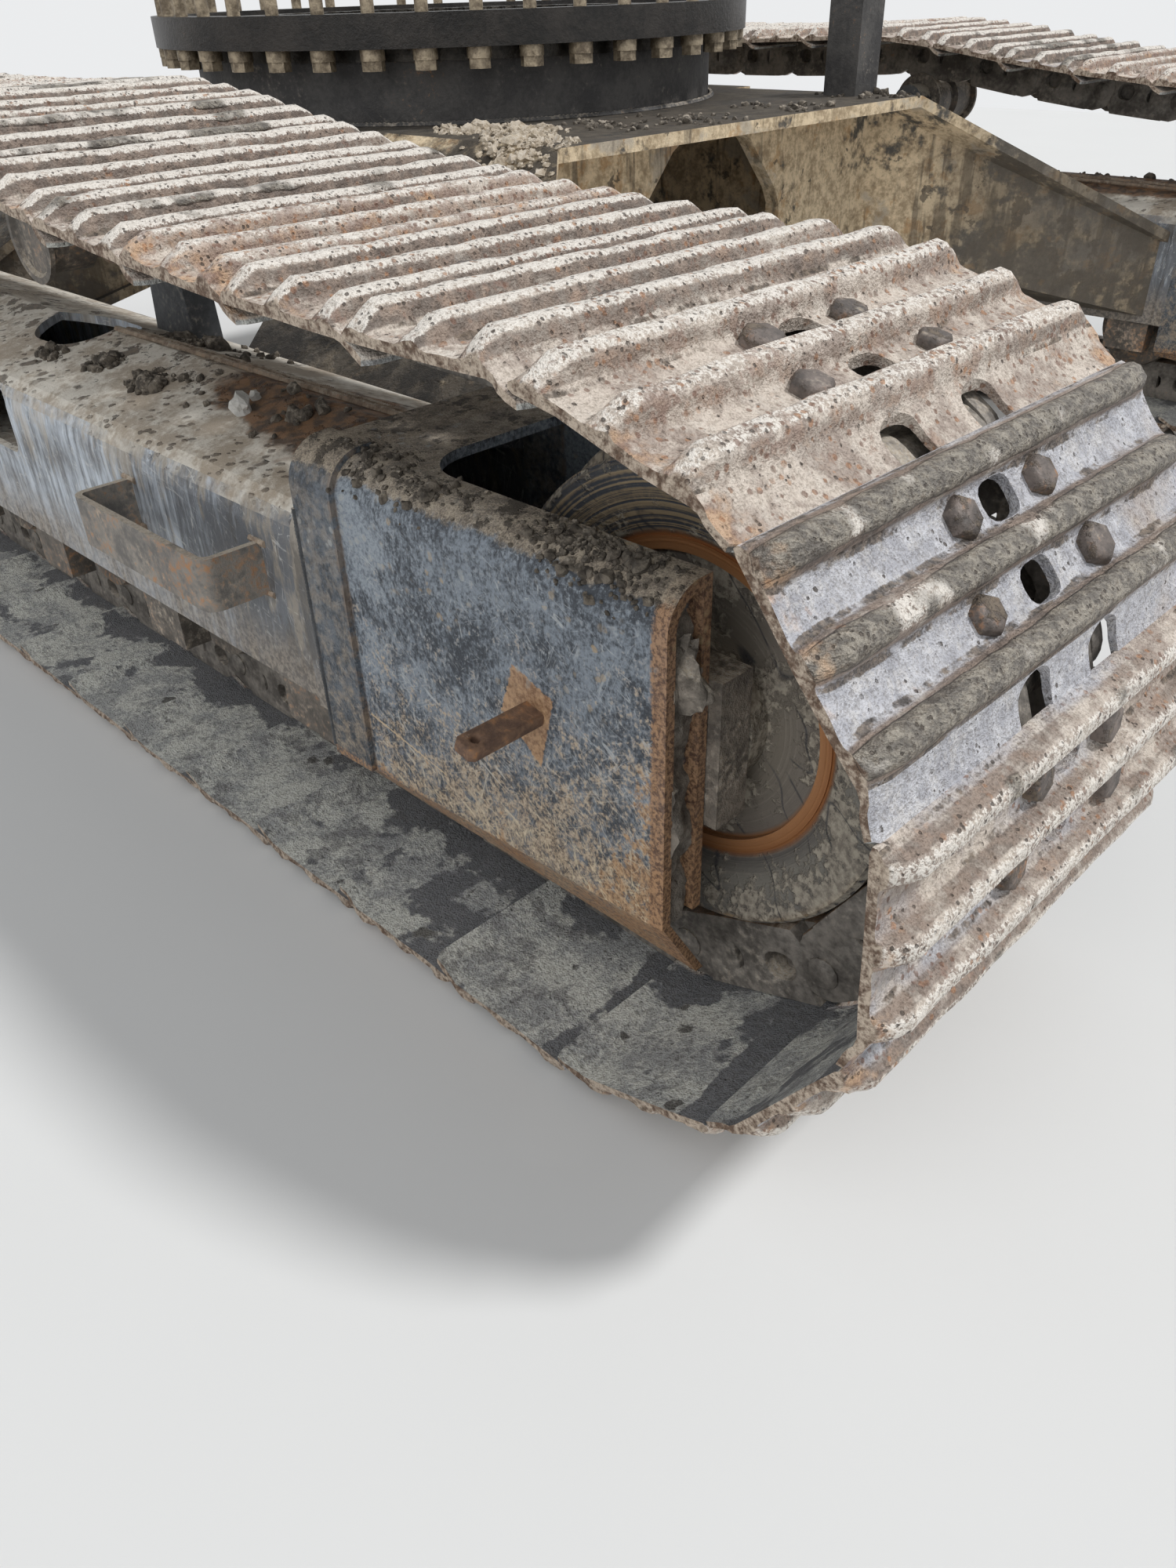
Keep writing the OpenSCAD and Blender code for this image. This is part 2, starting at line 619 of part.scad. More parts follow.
// Carrier brackets: a post and a clamp round each carrier roller's shaft
module carrier_brackets(side) {
  y0 = 44 - frame_half_w;
  y1 = -(rail_gap / 2 + rail_w + 15);
  color(frame_color) crawler(side) for (x = [-carrier_x, carrier_x]) difference() {
    profile(y1 - y0, (y0 + y1) / 2) union() {
      translate([x, carrier_z]) circle(r = 46);
      polygon([[x - 46, carrier_z], [x + 46, carrier_z], [x + 70, frame_z1 - frame_fall - 20],
        [x - 70, frame_z1 - frame_fall - 20]]);
    }
    wheel_at(x, carrier_z) translate([0, 0, y0 - 6]) cylinder(r = 26.3, h = y1 - y0 + 16);
    frame_bar(x - 100, x + 100, -0.01);
  }
}

// Step: a flat bar bent into a U and welded to the box's outer wall
module step(side) {
  x1 = idler_x - step_back;
  z0 = 378;
  color(rust_color) crawler(side) translate([x1 - step_len, frame_half_w, z0]) linear_extrude(step_h)
    difference() {
      union() {
        square([step_len, step_out - 20]);
        translate([20, 0]) square([step_len - 40, step_out]);
        for (x = [20, step_len - 20]) translate([x, step_out - 20]) circle(r = 20);
      }
      translate([step_t, -1]) square([step_len - 2 * step_t, step_out - 19]);
      translate([20, -1]) square([step_len - 40, step_out - step_t + 1]);
      for (x = [20, step_len - 20]) translate([x, step_out - 20]) circle(r = 20 - step_t);
    }
}

// Stub bar: a short flat with a hole, welded to the guard's outer plate
module stub_bar(side) {
  color(rust_color) crawler(side) translate([idler_x - stub_back, guard_w, stub_z]) rotate([0, 12, 0])
    linear_extrude(guard_t) difference() {
      square([stub_w, stub_out]);
      translate([stub_w / 2, stub_out - 18]) circle(r = 6);
    }
}

// Deck: flat top plate, wider under the pedestal and open in the middle for the swivel
module deck() {
  rim_w = pedestal_r + deck_rim;
  color(body_color) translate([0, 0, deck_z - deck_t]) linear_extrude(deck_t) difference() {
    union() {
      translate([-deck_half_l, -deck_half_w]) square([2 * deck_half_l, 2 * deck_half_w]);
      translate([-leg_x0 + 2, -rim_w]) square([2 * leg_x0 - 4, 2 * rim_w]);
    }
    circle(r = deck_hole_r, $fn = 96);
  }
}

// Belly: bottom plate under the box, with the swivel's seat
module belly() {
  color(body_color) translate([0, 0, belly_z]) linear_extrude(deck_t)
    translate([wall_back - 20 - deck_half_l, -deck_half_w])
      square([2 * (deck_half_l - wall_back + 20), 2 * deck_half_w]);
}

// Webs: thick front and rear walls with an arched opening each, two side walls and two inner ones
// that carry the pedestal
module carbody_webs() {
  h = deck_z - belly_z - 2 * deck_t;
  l = deck_half_l - wall_back;
  // The right upper corner of the opening, from its side to its top, in shares of the corner's size
  corner = [for (c = [[0, 1], [0.13, 0.78], [0.79, 0.11], [1, 0]])
    [hatch_half - c[0] * hatch_corner_w, h - hatch_top - c[1] * hatch_corner_h]];
  color(body_color) translate([0, 0, belly_z + deck_t]) {
    for (s = [-1, 1]) translate([s * (l - wall_t / 2) - wall_t / 2, 0, 0]) rotate([90, 0, 90])
      linear_extrude(wall_t) difference() {
        translate([-deck_half_w, 0]) square([2 * deck_half_w, h]);
        polygon(concat([[-hatch_half, 30], [hatch_half, 30]], corner,
          [for (i = [3 : -1 : 0]) [-corner[i][0], corner[i][1]]]));
      }
    linear_extrude(h) for (s = [-1, 1], y = [deck_half_w - web_t / 2, hatch_half + 80])
      translate([1 - l, s * y - web_t / 2]) square([2 * l - 2, web_t]);
  }
}

// A block between two four-cornered ends, each listed the same way round
module block(a, b) {
  polyhedron(points = concat(a, b), faces = [[3, 2, 1, 0], [4, 5, 6, 7], [0, 1, 5, 4], [1, 2, 6, 5],
    [2, 3, 7, 6], [3, 0, 4, 7]]);
}
// Leg: sloping top and bottom plates with a front and a rear web, from the box to the track frame
leg_foot_y = track_gauge / 2 - frame_half_w;
leg_foot_z1 = frame_z1 - frame_fall - shoulder_r;
leg_foot_z0 = frame_z0 + 4;
leg_foot_x1 = frame_front - collar_t - leg_to_collar;
module leg() {
  y0 = deck_half_w;
  y1 = leg_foot_y;
  zt0 = deck_z;
  zt1 = leg_foot_z1;
  zb0 = belly_z;
  zb1 = leg_foot_z0;
  x0 = leg_x0;
  x1 = deck_half_l;
  f0 = leg_foot_x0;
  f1 = leg_foot_x1;
  block([[x0, y0, zt0 - deck_t], [x1, y0, zt0 - deck_t], [x1, y0, zt0], [x0, y0, zt0]],
    [[f0, y1, zt1 - deck_t], [f1, y1, zt1 - deck_t], [f1, y1, zt1], [f0, y1, zt1]]);
  block([[x0, y0, zb0], [x1 - wall_back, y0, zb0], [x1 - wall_back, y0, zb0 + deck_t], [x0, y0, zb0 + deck_t]],
    [[f0, y1, zb1], [f1 - 20, y1, zb1], [f1 - 20, y1, zb1 + deck_t], [f0, y1, zb1 + deck_t]]);
  for (w = [[x0 + 20, f0 + 20], [x1 - wall_back - web_t, f1 - 20 - web_t]])
    block([[w[0], y0, zb0 + 2], [w[0] + web_t, y0, zb0 + 2], [w[0] + web_t, y0, zt0 - 2], [w[0], y0, zt0 - 2]],
      [[w[1], y1, zb1 + 2], [w[1] + web_t, y1, zb1 + 2], [w[1] + web_t, y1, zt1 - 2], [w[1], y1, zt1 - 2]]);
}
module leg_at(end, side) {
  color(body_color) mirror([end == "rear" ? 1 : 0, 0, 0]) mirror([0, side == "right" ? 1 : 0, 0]) leg();
}

// Pedestal: the tube that carries the slewing ring
module pedestal() {
  color(body_color) translate([0, 0, deck_z]) rotate_extrude($fn = 128) polygon([
    [pedestal_r - pedestal_t, 0], [pedestal_r, 0], [pedestal_r, ring_z0 - 25 - deck_z],
    [gear_tip_r + gear_depth + 16, ring_z0 - 25 - deck_z], [gear_tip_r + gear_depth + 16, ring_z0 - 50 - deck_z],
    [pedestal_r - pedestal_t, ring_z0 - 50 - deck_z]]);
}

// Fixed ring with its internal gear, seated on the pedestal
module slew_inner_ring() {
  h = ring_t + 15;
  color(steel_color) translate([0, 0, ring_z0 - 25]) linear_extrude(h) difference() {
    circle(r = race_r - race_gap, $fn = 128);
    polygon([for (i = [0 : gear_teeth - 1]) for (c = [[-0.42, gear_depth], [-0.2, 0], [0.2, 0], [0.42, gear_depth]])
      let (a = (i + c[0]) * 360 / gear_teeth, r = gear_tip_r + c[1]) [r * cos(a), r * sin(a)]]);
  }
}

// Turning ring, drilled for the slewing bolts
module slew_outer_ring() {
  color(steel_color) translate([0, 0, ring_z0]) linear_extrude(ring_t) difference() {
    circle(r = ring_r, $fn = 128);
    circle(r = race_r, $fn = 128);
    for (i = [0 : bolt_count - 1]) rotate(i * 360 / bolt_count) translate([bolt_circle_r, 0])
      circle(r = bolt_r + bolt_gap, $fn = 24);
  }
}

// Slewing bolts: hexagon head, long washer and a stud that stands out of the ring
module slew_bolts() {
  color(bolt_color) for (i = [0 : bolt_count - 1]) rotate(i * 360 / bolt_count)
    translate([bolt_circle_r, 0, ring_z0]) {
      translate([0, 0, -20]) cylinder(r = 25, h = 20, $fn = 24);
      translate([0, 0, -38]) cylinder(r = 24, h = 18, $fn = 6);
      translate([0, 0, -10]) cylinder(r = bolt_r, h = 10 + ring_t + bolt_stand, $fn = 24);
    }
}

// Swivel: the fixed body on the belly plate, and the rotor that turns with the superstructure
module swivel_body() {
  color(frame_color) translate([0, 0, belly_z + deck_t]) difference() {
    union() {
      cylinder(r = swivel_r, h = swivel_h);
      cylinder(r = swivel_r + 60, h = 20);
    }
    translate([0, 0, 30]) cylinder(r = rotor_r, h = swivel_h);
  }
}
module swivel_rotor() {
  z = belly_z + deck_t + swivel_h;
  color(steel_color) {
    translate([0, 0, belly_z + deck_t + 40]) cylinder(r = rotor_r - swivel_gap, h = swivel_h - 35);
    translate([0, 0, z + 4]) cylinder(r = rotor_head_r, h = rotor_head_h);
    translate([0, 0, z + 3 + rotor_head_h]) cylinder(r = rotor_head_r - 50, h = rotor_port_h + 1);
  }
}

// Post: a square tube that stands on the deck, ahead of the ring on the left
module deck_post() {
  color(body_color) translate([deck_half_l - post_back, deck_half_w - post_in, deck_z])
    linear_extrude(post_h) difference() {
      square([post_w, post_w], center = true);
      square([post_w - 16, post_w - 16], center = true);
    }
}

track("right");  // track_right
track("left");  // track_left
idler("right");  // idler_right
idler("left");  // idler_left
idler_yoke("right");  // idler_yoke_right
idler_yoke("left");  // idler_yoke_left
sprocket("right");  // sprocket_right
sprocket("left");  // sprocket_left
final_drive("right");  // final_drive_right
final_drive("left");  // final_drive_left
track_frame("right");  // track_frame_right
track_frame("left");  // track_frame_left
idler_guard("right");  // idler_guard_right
idler_guard("left");  // idler_guard_left
track_rollers("right");  // track_rollers_right
track_rollers("left");  // track_rollers_left
carrier_rollers("right");  // carrier_rollers_right
carrier_rollers("left");  // carrier_rollers_left
carrier_brackets("right");  // carrier_brackets_right
carrier_brackets("left");  // carrier_brackets_left
step("right");  // step_right
step("left");  // step_left
stub_bar("right");  // stub_bar_right
stub_bar("left");  // stub_bar_left
deck();
belly();
carbody_webs();
leg_at("front", "right");  // leg_front_right
leg_at("front", "left");  // leg_front_left
leg_at("rear", "right");  // leg_rear_right
leg_at("rear", "left");  // leg_rear_left
pedestal();
slew_inner_ring();
slew_outer_ring();
slew_bolts();
swivel_body();
swivel_rotor();
deck_post();
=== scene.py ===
from contextlib import contextmanager
from math import atan2, cos, degrees, hypot, pi, radians, sin

import bmesh
import bpy
import numpy as np
from mathutils import Matrix, Vector, noise


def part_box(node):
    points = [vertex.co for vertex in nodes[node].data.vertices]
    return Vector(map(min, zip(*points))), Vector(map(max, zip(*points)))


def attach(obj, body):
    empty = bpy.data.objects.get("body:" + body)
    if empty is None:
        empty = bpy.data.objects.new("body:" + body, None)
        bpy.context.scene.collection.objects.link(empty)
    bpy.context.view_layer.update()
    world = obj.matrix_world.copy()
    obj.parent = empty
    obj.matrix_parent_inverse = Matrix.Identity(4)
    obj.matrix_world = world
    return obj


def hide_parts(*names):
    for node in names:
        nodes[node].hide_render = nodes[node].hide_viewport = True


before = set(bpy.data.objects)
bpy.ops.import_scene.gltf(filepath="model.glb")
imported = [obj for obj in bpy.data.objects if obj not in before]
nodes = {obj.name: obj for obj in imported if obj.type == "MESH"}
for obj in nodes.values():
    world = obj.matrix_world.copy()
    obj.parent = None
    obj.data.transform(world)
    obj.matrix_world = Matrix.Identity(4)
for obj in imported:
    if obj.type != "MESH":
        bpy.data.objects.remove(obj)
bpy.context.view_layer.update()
scene = bpy.context.scene
sides = ("right", "left")
sideSign = {"right": -1, "left": 1}
halfGauge = 1.31
print("frame loaded")


# Small helpers
def newObject(name, data):
    made = bpy.data.objects.new(name, data)
    scene.collection.objects.link(made)
    return made


def addNode(tree, kind, settings={}, sockets={}):
    # A node with its settings, then the values or wires of its sockets
    made = tree.nodes.new(kind)
    for key, value in settings.items():
        if key == "stops":
            for i, (at, colour) in enumerate(value):
                stop = made.color_ramp.elements[i] if i < 2 else made.color_ramp.elements.new(at)
                stop.position, stop.color = at, (*colour, 1)
        else:
            setattr(made, key, value)
    for key, value in sockets.items():
        value = getattr(value, "socket", value)
        if isinstance(value, bpy.types.NodeSocket):
            tree.links.new(value, made.inputs[key])
        else:
            made.inputs[key].default_value = value
    return made


# Camera, light and floor
view = {"place": (2.637, -2.190, 1.028), "yaw": 135.734, "pitch": -35.034, "roll": -1.782, "lens": 26.22}
light = {"sun": 2.15, "sunSoft": 8, "sunFrom": (0.55, 0.50, 1.0), "fill": 0.95, "fillSoft": 70,
         "fillFrom": (0.30, -1.0, 0.85), "world": 0.42, "air": (0.93, 0.96, 1.0), "backdrop": (0.83, 0.84, 0.85),
         "floor": (0.70, 0.70, 0.69), "floorHalf": 9}


def placeCamera():
    yaw, pitch, roll = (radians(view[k]) for k in ("yaw", "pitch", "roll"))
    ahead = Vector((cos(pitch) * cos(yaw), cos(pitch) * sin(yaw), sin(pitch)))
    across = ahead.cross(Vector((0, 0, 1))).normalized()
    above = across.cross(ahead)
    right = cos(roll) * across + sin(roll) * above
    up = -sin(roll) * across + cos(roll) * above
    data = bpy.data.cameras.new("camera")
    data.sensor_fit, data.sensor_height = "VERTICAL", 36
    data.lens, data.clip_end = view["lens"], 200
    scene.camera = newObject("camera", data)
    scene.camera.matrix_world = Matrix.Translation(view["place"]) @ Matrix((right, up, -ahead)).transposed().to_4x4()


def placeSun(name, strength, comesFrom, soft):
    data = bpy.data.lights.new(name, "SUN")
    data.energy, data.angle = strength, radians(soft)
    newObject(name, data).rotation_euler = Vector(comesFrom).to_track_quat("Z", "Y").to_euler()


def makeWorld():
    # The air lights the object; the camera and gloss see the backdrop
    world = bpy.data.worlds.new("studio")
    world.use_nodes = True
    tree = world.node_tree
    tree.nodes.clear()
    lit = addNode(tree, "ShaderNodeBackground", {}, {"Color": (*light["air"], 1), "Strength": light["world"]})
    seen = addNode(tree, "ShaderNodeBackground", {}, {"Color": (*light["backdrop"], 1)})
    rays = addNode(tree, "ShaderNodeLightPath").outputs
    either = addNode(tree, "ShaderNodeMath", {"operation": "MAXIMUM"},
                     {0: rays["Is Camera Ray"], 1: rays["Is Glossy Ray"]})
    pick = addNode(tree, "ShaderNodeMixShader", {}, {0: either.outputs[0], 1: lit.outputs[0], 2: seen.outputs[0]})
    addNode(tree, "ShaderNodeOutputWorld", {}, {0: pick.outputs[0]})
    scene.world = world


scene.view_settings.view_transform = "Standard"
placeCamera()
placeSun("sun", light["sun"], light["sunFrom"], light["sunSoft"])
placeSun("fill", light["fill"], light["fillFrom"], light["fillSoft"])
makeWorld()
print("camera and lights placed")


# Materials
class Value:
    # A number on a material's wire. Python's operators add the Math nodes.
    def __init__(self, look, socket):
        self.look, self.socket = look, socket

    def maths(self, how, first, second=0.0, clamp=False):
        made = self.look.node("ShaderNodeMath", {"operation": how, "use_clamp": clamp}, {0: first, 1: second})
        return Value(self.look, made.outputs[0])

    def __add__(self, other):
        return self.maths("ADD", self, other)

    def __radd__(self, other):
        return self.maths("ADD", other, self)

    def __sub__(self, other):
        return self.maths("SUBTRACT", self, other)

    def __rsub__(self, other):
        return self.maths("SUBTRACT", other, self)

    def __mul__(self, other):
        return self.maths("MULTIPLY", self, other)

    def __rmul__(self, other):
        return self.maths("MULTIPLY", other, self)

    def __truediv__(self, other):
        return self.maths("DIVIDE", self, other)

    def __abs__(self):
        return self.maths("ABSOLUTE", self)

    def most(self, other):
        return self.maths("MAXIMUM", self, other)

    def kept(self):
        return self.maths("ADD", self, 0.0, True)

    # 0 below low, 1 above high, smooth between
    def rise(self, low, high):
        made = self.look.node("ShaderNodeMapRange", {"interpolation_type": "SMOOTHSTEP"},
                              {0: self, 1: low, 2: high, 3: 0.0, 4: 1.0})
        return Value(self.look, made.outputs[0])

    def fall(self, low, high):
        return 1 - self.rise(low, high)


class Look:
    def __init__(self, name):
        self.material = bpy.data.materials.new(name)
        self.material.use_nodes = True
        self.tree = self.material.node_tree
        self.tree.nodes.clear()
        self.colour = None      # what has been laid on so far
        self.place = self.node("ShaderNodeTexCoord").outputs["Object"]
        facing = self.node("ShaderNodeNewGeometry").outputs["Normal"]
        self.x, self.y, self.z = self.parts(self.place)
        self.faceY, self.faceZ = self.parts(facing)[1:]

    def node(self, kind, settings={}, sockets={}):
        return addNode(self.tree, kind, settings, sockets)

    def parts(self, vector):
        split = self.node("ShaderNodeSeparateXYZ", {}, {0: vector})
        return [Value(self, split.outputs[i]) for i in range(3)]

    def stretched(self, scale, shift=(0, 0, 0)):
        return self.node("ShaderNodeMapping", {}, {0: self.place, 1: shift, 3: scale}).outputs[0]

    # Coordinates for a grain that runs along a turned X axis
    def grain(self, long, turn=(0, 0, 0), shift=(0, 0, 0)):
        made = self.node("ShaderNodeMapping", {"vector_type": "TEXTURE"},
                         {0: self.place, 1: shift, 2: turn, 3: (long, 1, 1)})
        return made.outputs[0]

    # Thin lines, 1 on the line
    def scratches(self, size, place, thin=0.02):
        return abs(self.noise(size, 1, 0.5, place) - 0.5).fall(0.0, thin)

    # Ragged spots about one to a cell
    def spots(self, size, share, ragged, place=None):
        cells = self.node("ShaderNodeTexVoronoi", {}, {"Vector": place or self.place, "Scale": 1 / size})
        return (Value(self, cells.outputs["Distance"]) + (ragged - 0.5) * 0.5).fall(share * 0.7, share)

    # 1 inside an outline of x and z places that turns clockwise, with an edge this soft and ragged
    def within(self, outline, soft, ragged, amount):
        inside = None
        for (x0, z0), (x1, z1) in zip(outline, outline[1:] + outline[:1]):
            long = hypot(x1 - x0, z1 - z0)
            across = (self.x - x0) * ((z1 - z0) / long) - (self.z - z0) * ((x1 - x0) / long)
            side = (across + (ragged - 0.5) * amount).rise(0.0, soft)
            inside = side if inside is None else inside * side
        return inside

    # Noise about 0.5; size is the blotches' size in metres
    def noise(self, size, detail=3.0, rough=0.55, place=None):
        made = self.node("ShaderNodeTexNoise", {},
                         {"Vector": place or self.place, "Scale": 1 / size, "Detail": detail, "Roughness": rough})
        return Value(self, made.outputs[0])

    def noises(self, *sizes):
        return [self.noise(*size) for size in sizes]

    # Noise that changes along one number only, as rings and bands do
    def layers(self, along, scale, detail, rough):
        made = self.node("ShaderNodeTexNoise", {"noise_dimensions": "1D"},
                         {"W": along, "Scale": scale, "Detail": detail, "Roughness": rough})
        return Value(self, made.outputs[0])

    def attribute(self, name):
        return Value(self, self.node("ShaderNodeAttribute", {"attribute_name": name}).outputs["Fac"])

    def mix(self, share, below, above, blend="MIX"):
        below, above = ((*c, 1) if isinstance(c, tuple) else c for c in (below, above))
        made = self.node("ShaderNodeMix", {"data_type": "RGBA", "blend_type": blend}, {0: share, 6: below, 7: above})
        return made.outputs[2]

    # Lays a share of a hue over the colour so far, or of one that goes between two hues
    def lay(self, share, hue, otherHue=None, between=None):
        self.colour = self.mix(share, self.colour, self.mix(between, hue, otherHue) if otherHue else hue)

    def ramp(self, share, stops):
        return self.node("ShaderNodeValToRGB", {"stops": stops}, {0: share}).outputs[0]

    def finish(self, rough, metal=0.0, height=None, depth=0.002):
        ends = {"Base Color": self.colour, "Roughness": rough, "Metallic": metal}
        if height is not None:
            bump = self.node("ShaderNodeBump", {}, {"Strength": 1.0, "Distance": depth, "Height": height})
            ends["Normal"] = bump.outputs[0]
        shader = self.node("ShaderNodeBsdfPrincipled", {}, ends)
        self.node("ShaderNodeOutputMaterial", {}, {"Surface": shader.outputs[0]})
        return self.material


mudColours = {"dry": (0.47, 0.39, 0.29), "pale": (0.60, 0.55, 0.48), "damp": (0.16, 0.125, 0.09),
              "dark": (0.055, 0.046, 0.037)}
rustColours = {"orange": (0.40, 0.19, 0.075), "brown": (0.17, 0.085, 0.045)}


def makeShoeSteel():
    look = Look("shoeSteel")
    rise, span, seed, along = (look.attribute(n) for n in ("rise", "span", "seed", "along"))
    far, patch, mid, fine, grit = look.noises((0.30, 2), (0.06, 4, 0.62), (0.020, 3, 0.6), (0.007, 3, 0.65),
                                              (0.0026, 2, 0.7))
    ribLong = look.noise(0.030, 4, 0.62, look.stretched((1, 0.10, 1)))
    toFront = look.x.rise(1.93, 2.08)
    own = seed - 0.5
    # plates: chalky cream, pinkish brown or blue-grey
    look.colour = look.mix((patch + mid * 0.6 + own * 0.3 - 0.27).rise(0.40, 0.61), (0.69, 0.61, 0.53),
                           (0.42, 0.345, 0.295))
    blue = far * 0.8 + patch * 0.4 + own * 1.0 + toFront * 0.40 - span.rise(0.05, 0.7) * 0.30 - 0.90
    blue = blue.rise(0.0, 0.20) * rise.fall(0.05, 0.5)
    look.lay(blue * 0.92, (0.46, 0.470, 0.515), (0.67, 0.68, 0.72), mid.rise(0.35, 0.65))
    chalk = (look.noise(0.035, 5, 0.75) + fine * 0.5 - 0.76).rise(0.02, 0.10)
    look.lay(chalk * 0.60 * (1 - toFront * 0.6), (0.80, 0.75, 0.67))
    # the ribs' sides are brown and pitted, the brown partly real stain and partly painted shade of the flanks; their
    # crests chalky; on the bend the crests wear a cracked crust
    flank = rise.rise(0.03, 0.30) * rise.fall(0.72, 0.98)
    crest = rise.rise(0.62, 0.95)
    flankStainAndShade = (flank * 0.42 + ribLong * 0.8 + mid * 0.5 + own * 0.2 - toFront * 0.10 - 0.84).rise(0.0, 0.24)
    look.lay(flankStainAndShade * 0.85, (0.13, 0.10, 0.082), (0.33, 0.255, 0.205), mid.rise(0.38, 0.62))
    chalky = (crest * 0.55 + grit * 0.7 + fine * 0.8 + own * 0.2 - toFront * 0.10 - 1.12).rise(0.0, 0.10)
    look.lay(chalky * 0.9, (0.84, 0.79, 0.72))
    crust = rise.rise(0.35, 0.8) * 0.34 + toFront * 0.16 + look.noise(0.10, 3, 0.6) * 0.9 + own * 0.7 - 1.03
    crust = crust.rise(0.0, 0.10)
    wrinkles = look.noise(0.006, 3, 0.7, look.grain(2.5, (0, 0, 0.9)))
    look.lay(crust * 0.9, (0.095, 0.083, 0.070), (0.34, 0.305, 0.250),
             (wrinkles * 0.8 + mid * 0.6 - 0.2).rise(0.36, 0.66))
    stain = (look.noise(0.045, 5, 0.72) + fine * 0.3 + flank * 0.08 - own * 0.35 - 0.80).rise(0.0, 0.08)
    look.lay(stain * 0.65, (0.27, 0.165, 0.125), (0.47, 0.34, 0.26), mid.rise(0.4, 0.6))
    # rust in specks on the plates and in patches at their ends
    ends = abs(span).rise(0.84, 1.0)
    rust = (ends * 0.24 + patch * 0.9 + mid * 0.6 + (far - 0.5) * 0.7 - own * 0.3 - 0.95).rise(0.0, 0.26)
    specks = look.spots(0.011, 0.31, fine) * (patch + far * 0.4 - own * 0.5 - toFront * 0.04).rise(0.60, 0.75)
    rustHue = look.mix(mid.rise(0.40, 0.58), (0.26, 0.135, 0.080), (0.62, 0.40, 0.24))
    look.lay(rust * 0.72, rustHue)
    look.lay(specks * 0.75, (0.20, 0.105, 0.070), (0.48, 0.255, 0.135), mid.rise(0.44, 0.60))
    # damp mud in the ribs' feet and in the joints; the dark in the ribs' feet is partly painted shade of the creases
    # there
    foot = rise.rise(0.018, 0.055) * rise.fall(0.12, 0.5)
    damp = foot * 0.40 + look.noise(0.05, 5, 0.7) * 1.1 + ribLong * 0.5 + own * 0.2 - toFront * 0.07 - 1.13
    damp = damp.rise(0.0, 0.12)
    look.lay(damp * 0.85, (0.060, 0.048, 0.038), (0.22, 0.17, 0.125), fine.rise(0.35, 0.65))
    pits = look.spots(0.0080, 0.26, fine) * (mid + crest * 0.10 - toFront * 0.03).rise(0.50, 0.61)
    look.lay(pits * 0.85, (0.095, 0.075, 0.060))
    # undersides: dusty and pale outboard; darker behind each joint as painted shade of the step there, and darker
    # towards the chain
    under = rise.fall(-0.5, -0.1)
    jointShade = along.rise(0.02, 0.07) * along.fall(0.16, 0.28) * 0.30
    inward = abs(span).fall(0.32, 0.55) * 0.15
    dry = (look.noise(0.10, 4, 0.6) + own * 0.10 - jointShade - inward + mid * 0.2 - 0.02).rise(0.44, 0.50)
    pale = look.mix((patch + fine * 0.5 - 0.25).rise(0.36, 0.64), (0.40, 0.405, 0.40), (0.69, 0.69, 0.635))
    plain = look.mix(dry, look.mix(mid, (0.13, 0.135, 0.145), (0.25, 0.25, 0.255)), pale)
    plain = look.mix((look.noise(0.045, 5, 0.70) + own * 0.1).rise(0.55, 0.63) * 0.55, plain, (0.17, 0.165, 0.165))
    drops = look.spots(0.085, 0.17, mid) * dry
    look.lay(under, look.mix(drops * 0.85, plain, (0.070, 0.062, 0.055)))
    # the plates' cut ends are rusty and dusty
    cutEnd = abs(look.faceY).rise(0.75, 0.92) * abs(span).rise(0.985, 0.995)
    look.lay(cutEnd, (0.16, 0.10, 0.065), (0.58, 0.48, 0.38), (mid * 0.6 + fine * 0.6 - 0.1).rise(0.38, 0.60))
    speck = look.ramp(grit * 0.6 + fine * 0.4, [(0.38, (0.50, 0.47, 0.44)), (0.54, (1.0, 1.0, 1.0))])
    look.colour = look.mix(0.75, look.colour, speck, "MULTIPLY")
    height = fine * 0.8 + grit * 0.7 + patch * 0.5 + mid * 0.5 - pits * 0.9 + crust * wrinkles * 1.6
    return look.finish((0.66 + damp * 0.2 + chalk * 0.15 - crest * 0.1).kept(),
                       (0.15 - damp * 0.15 - chalk * 0.1).kept(), height, 0.004)


def makeSoiled(name, base, second, mudAmount, rustAmount, darkAmount, dustUp, metal, rough, size, depth=0.002):
    # The general finish: a paint or steel under rust, dust and mud, each by its own amount
    look = Look(name)
    patch = look.noise(size, 4, 0.62)
    fine, grit = look.noises((0.010, 3, 0.65), (0.003, 2, 0.7))
    far = look.noise(size * 4, 2)
    lying = look.faceZ.rise(0.1, 0.95)
    look.colour = look.mix((patch * 0.8 + fine * 0.4 - 0.1).rise(0.35, 0.65), base, second)
    rust = (far * 0.5 + patch * 0.5 + fine * 0.9 - 1.30 + rustAmount * 0.75).rise(0.0, 0.28)
    look.lay(rust * 0.85, rustColours["brown"], rustColours["orange"], fine.rise(0.4, 0.62))
    dust = look.noise(size * 1.7, 5, 0.7) * 0.9 + fine * 0.6 + lying * dustUp * 0.6 - 1.13 + mudAmount * 0.65
    dust = dust.rise(0.0, 0.3)
    look.lay(dust * 0.85, mudColours["dry"], mudColours["pale"], grit.rise(0.3, 0.7))
    dark = (look.noise(size * 0.6, 5, 0.72) + far * 0.4 - 1.05 + darkAmount * 0.6).rise(0.0, 0.16)
    look.lay(dark * 0.85, mudColours["damp"])
    height = fine * 0.6 + grit * 0.35 + dark * 1.1 + patch * 0.5
    wet = (rough + dust * 0.35 + dark * 0.15).kept()
    return look.finish(wet, (metal - dust * metal - dark * metal).kept(), height, depth)


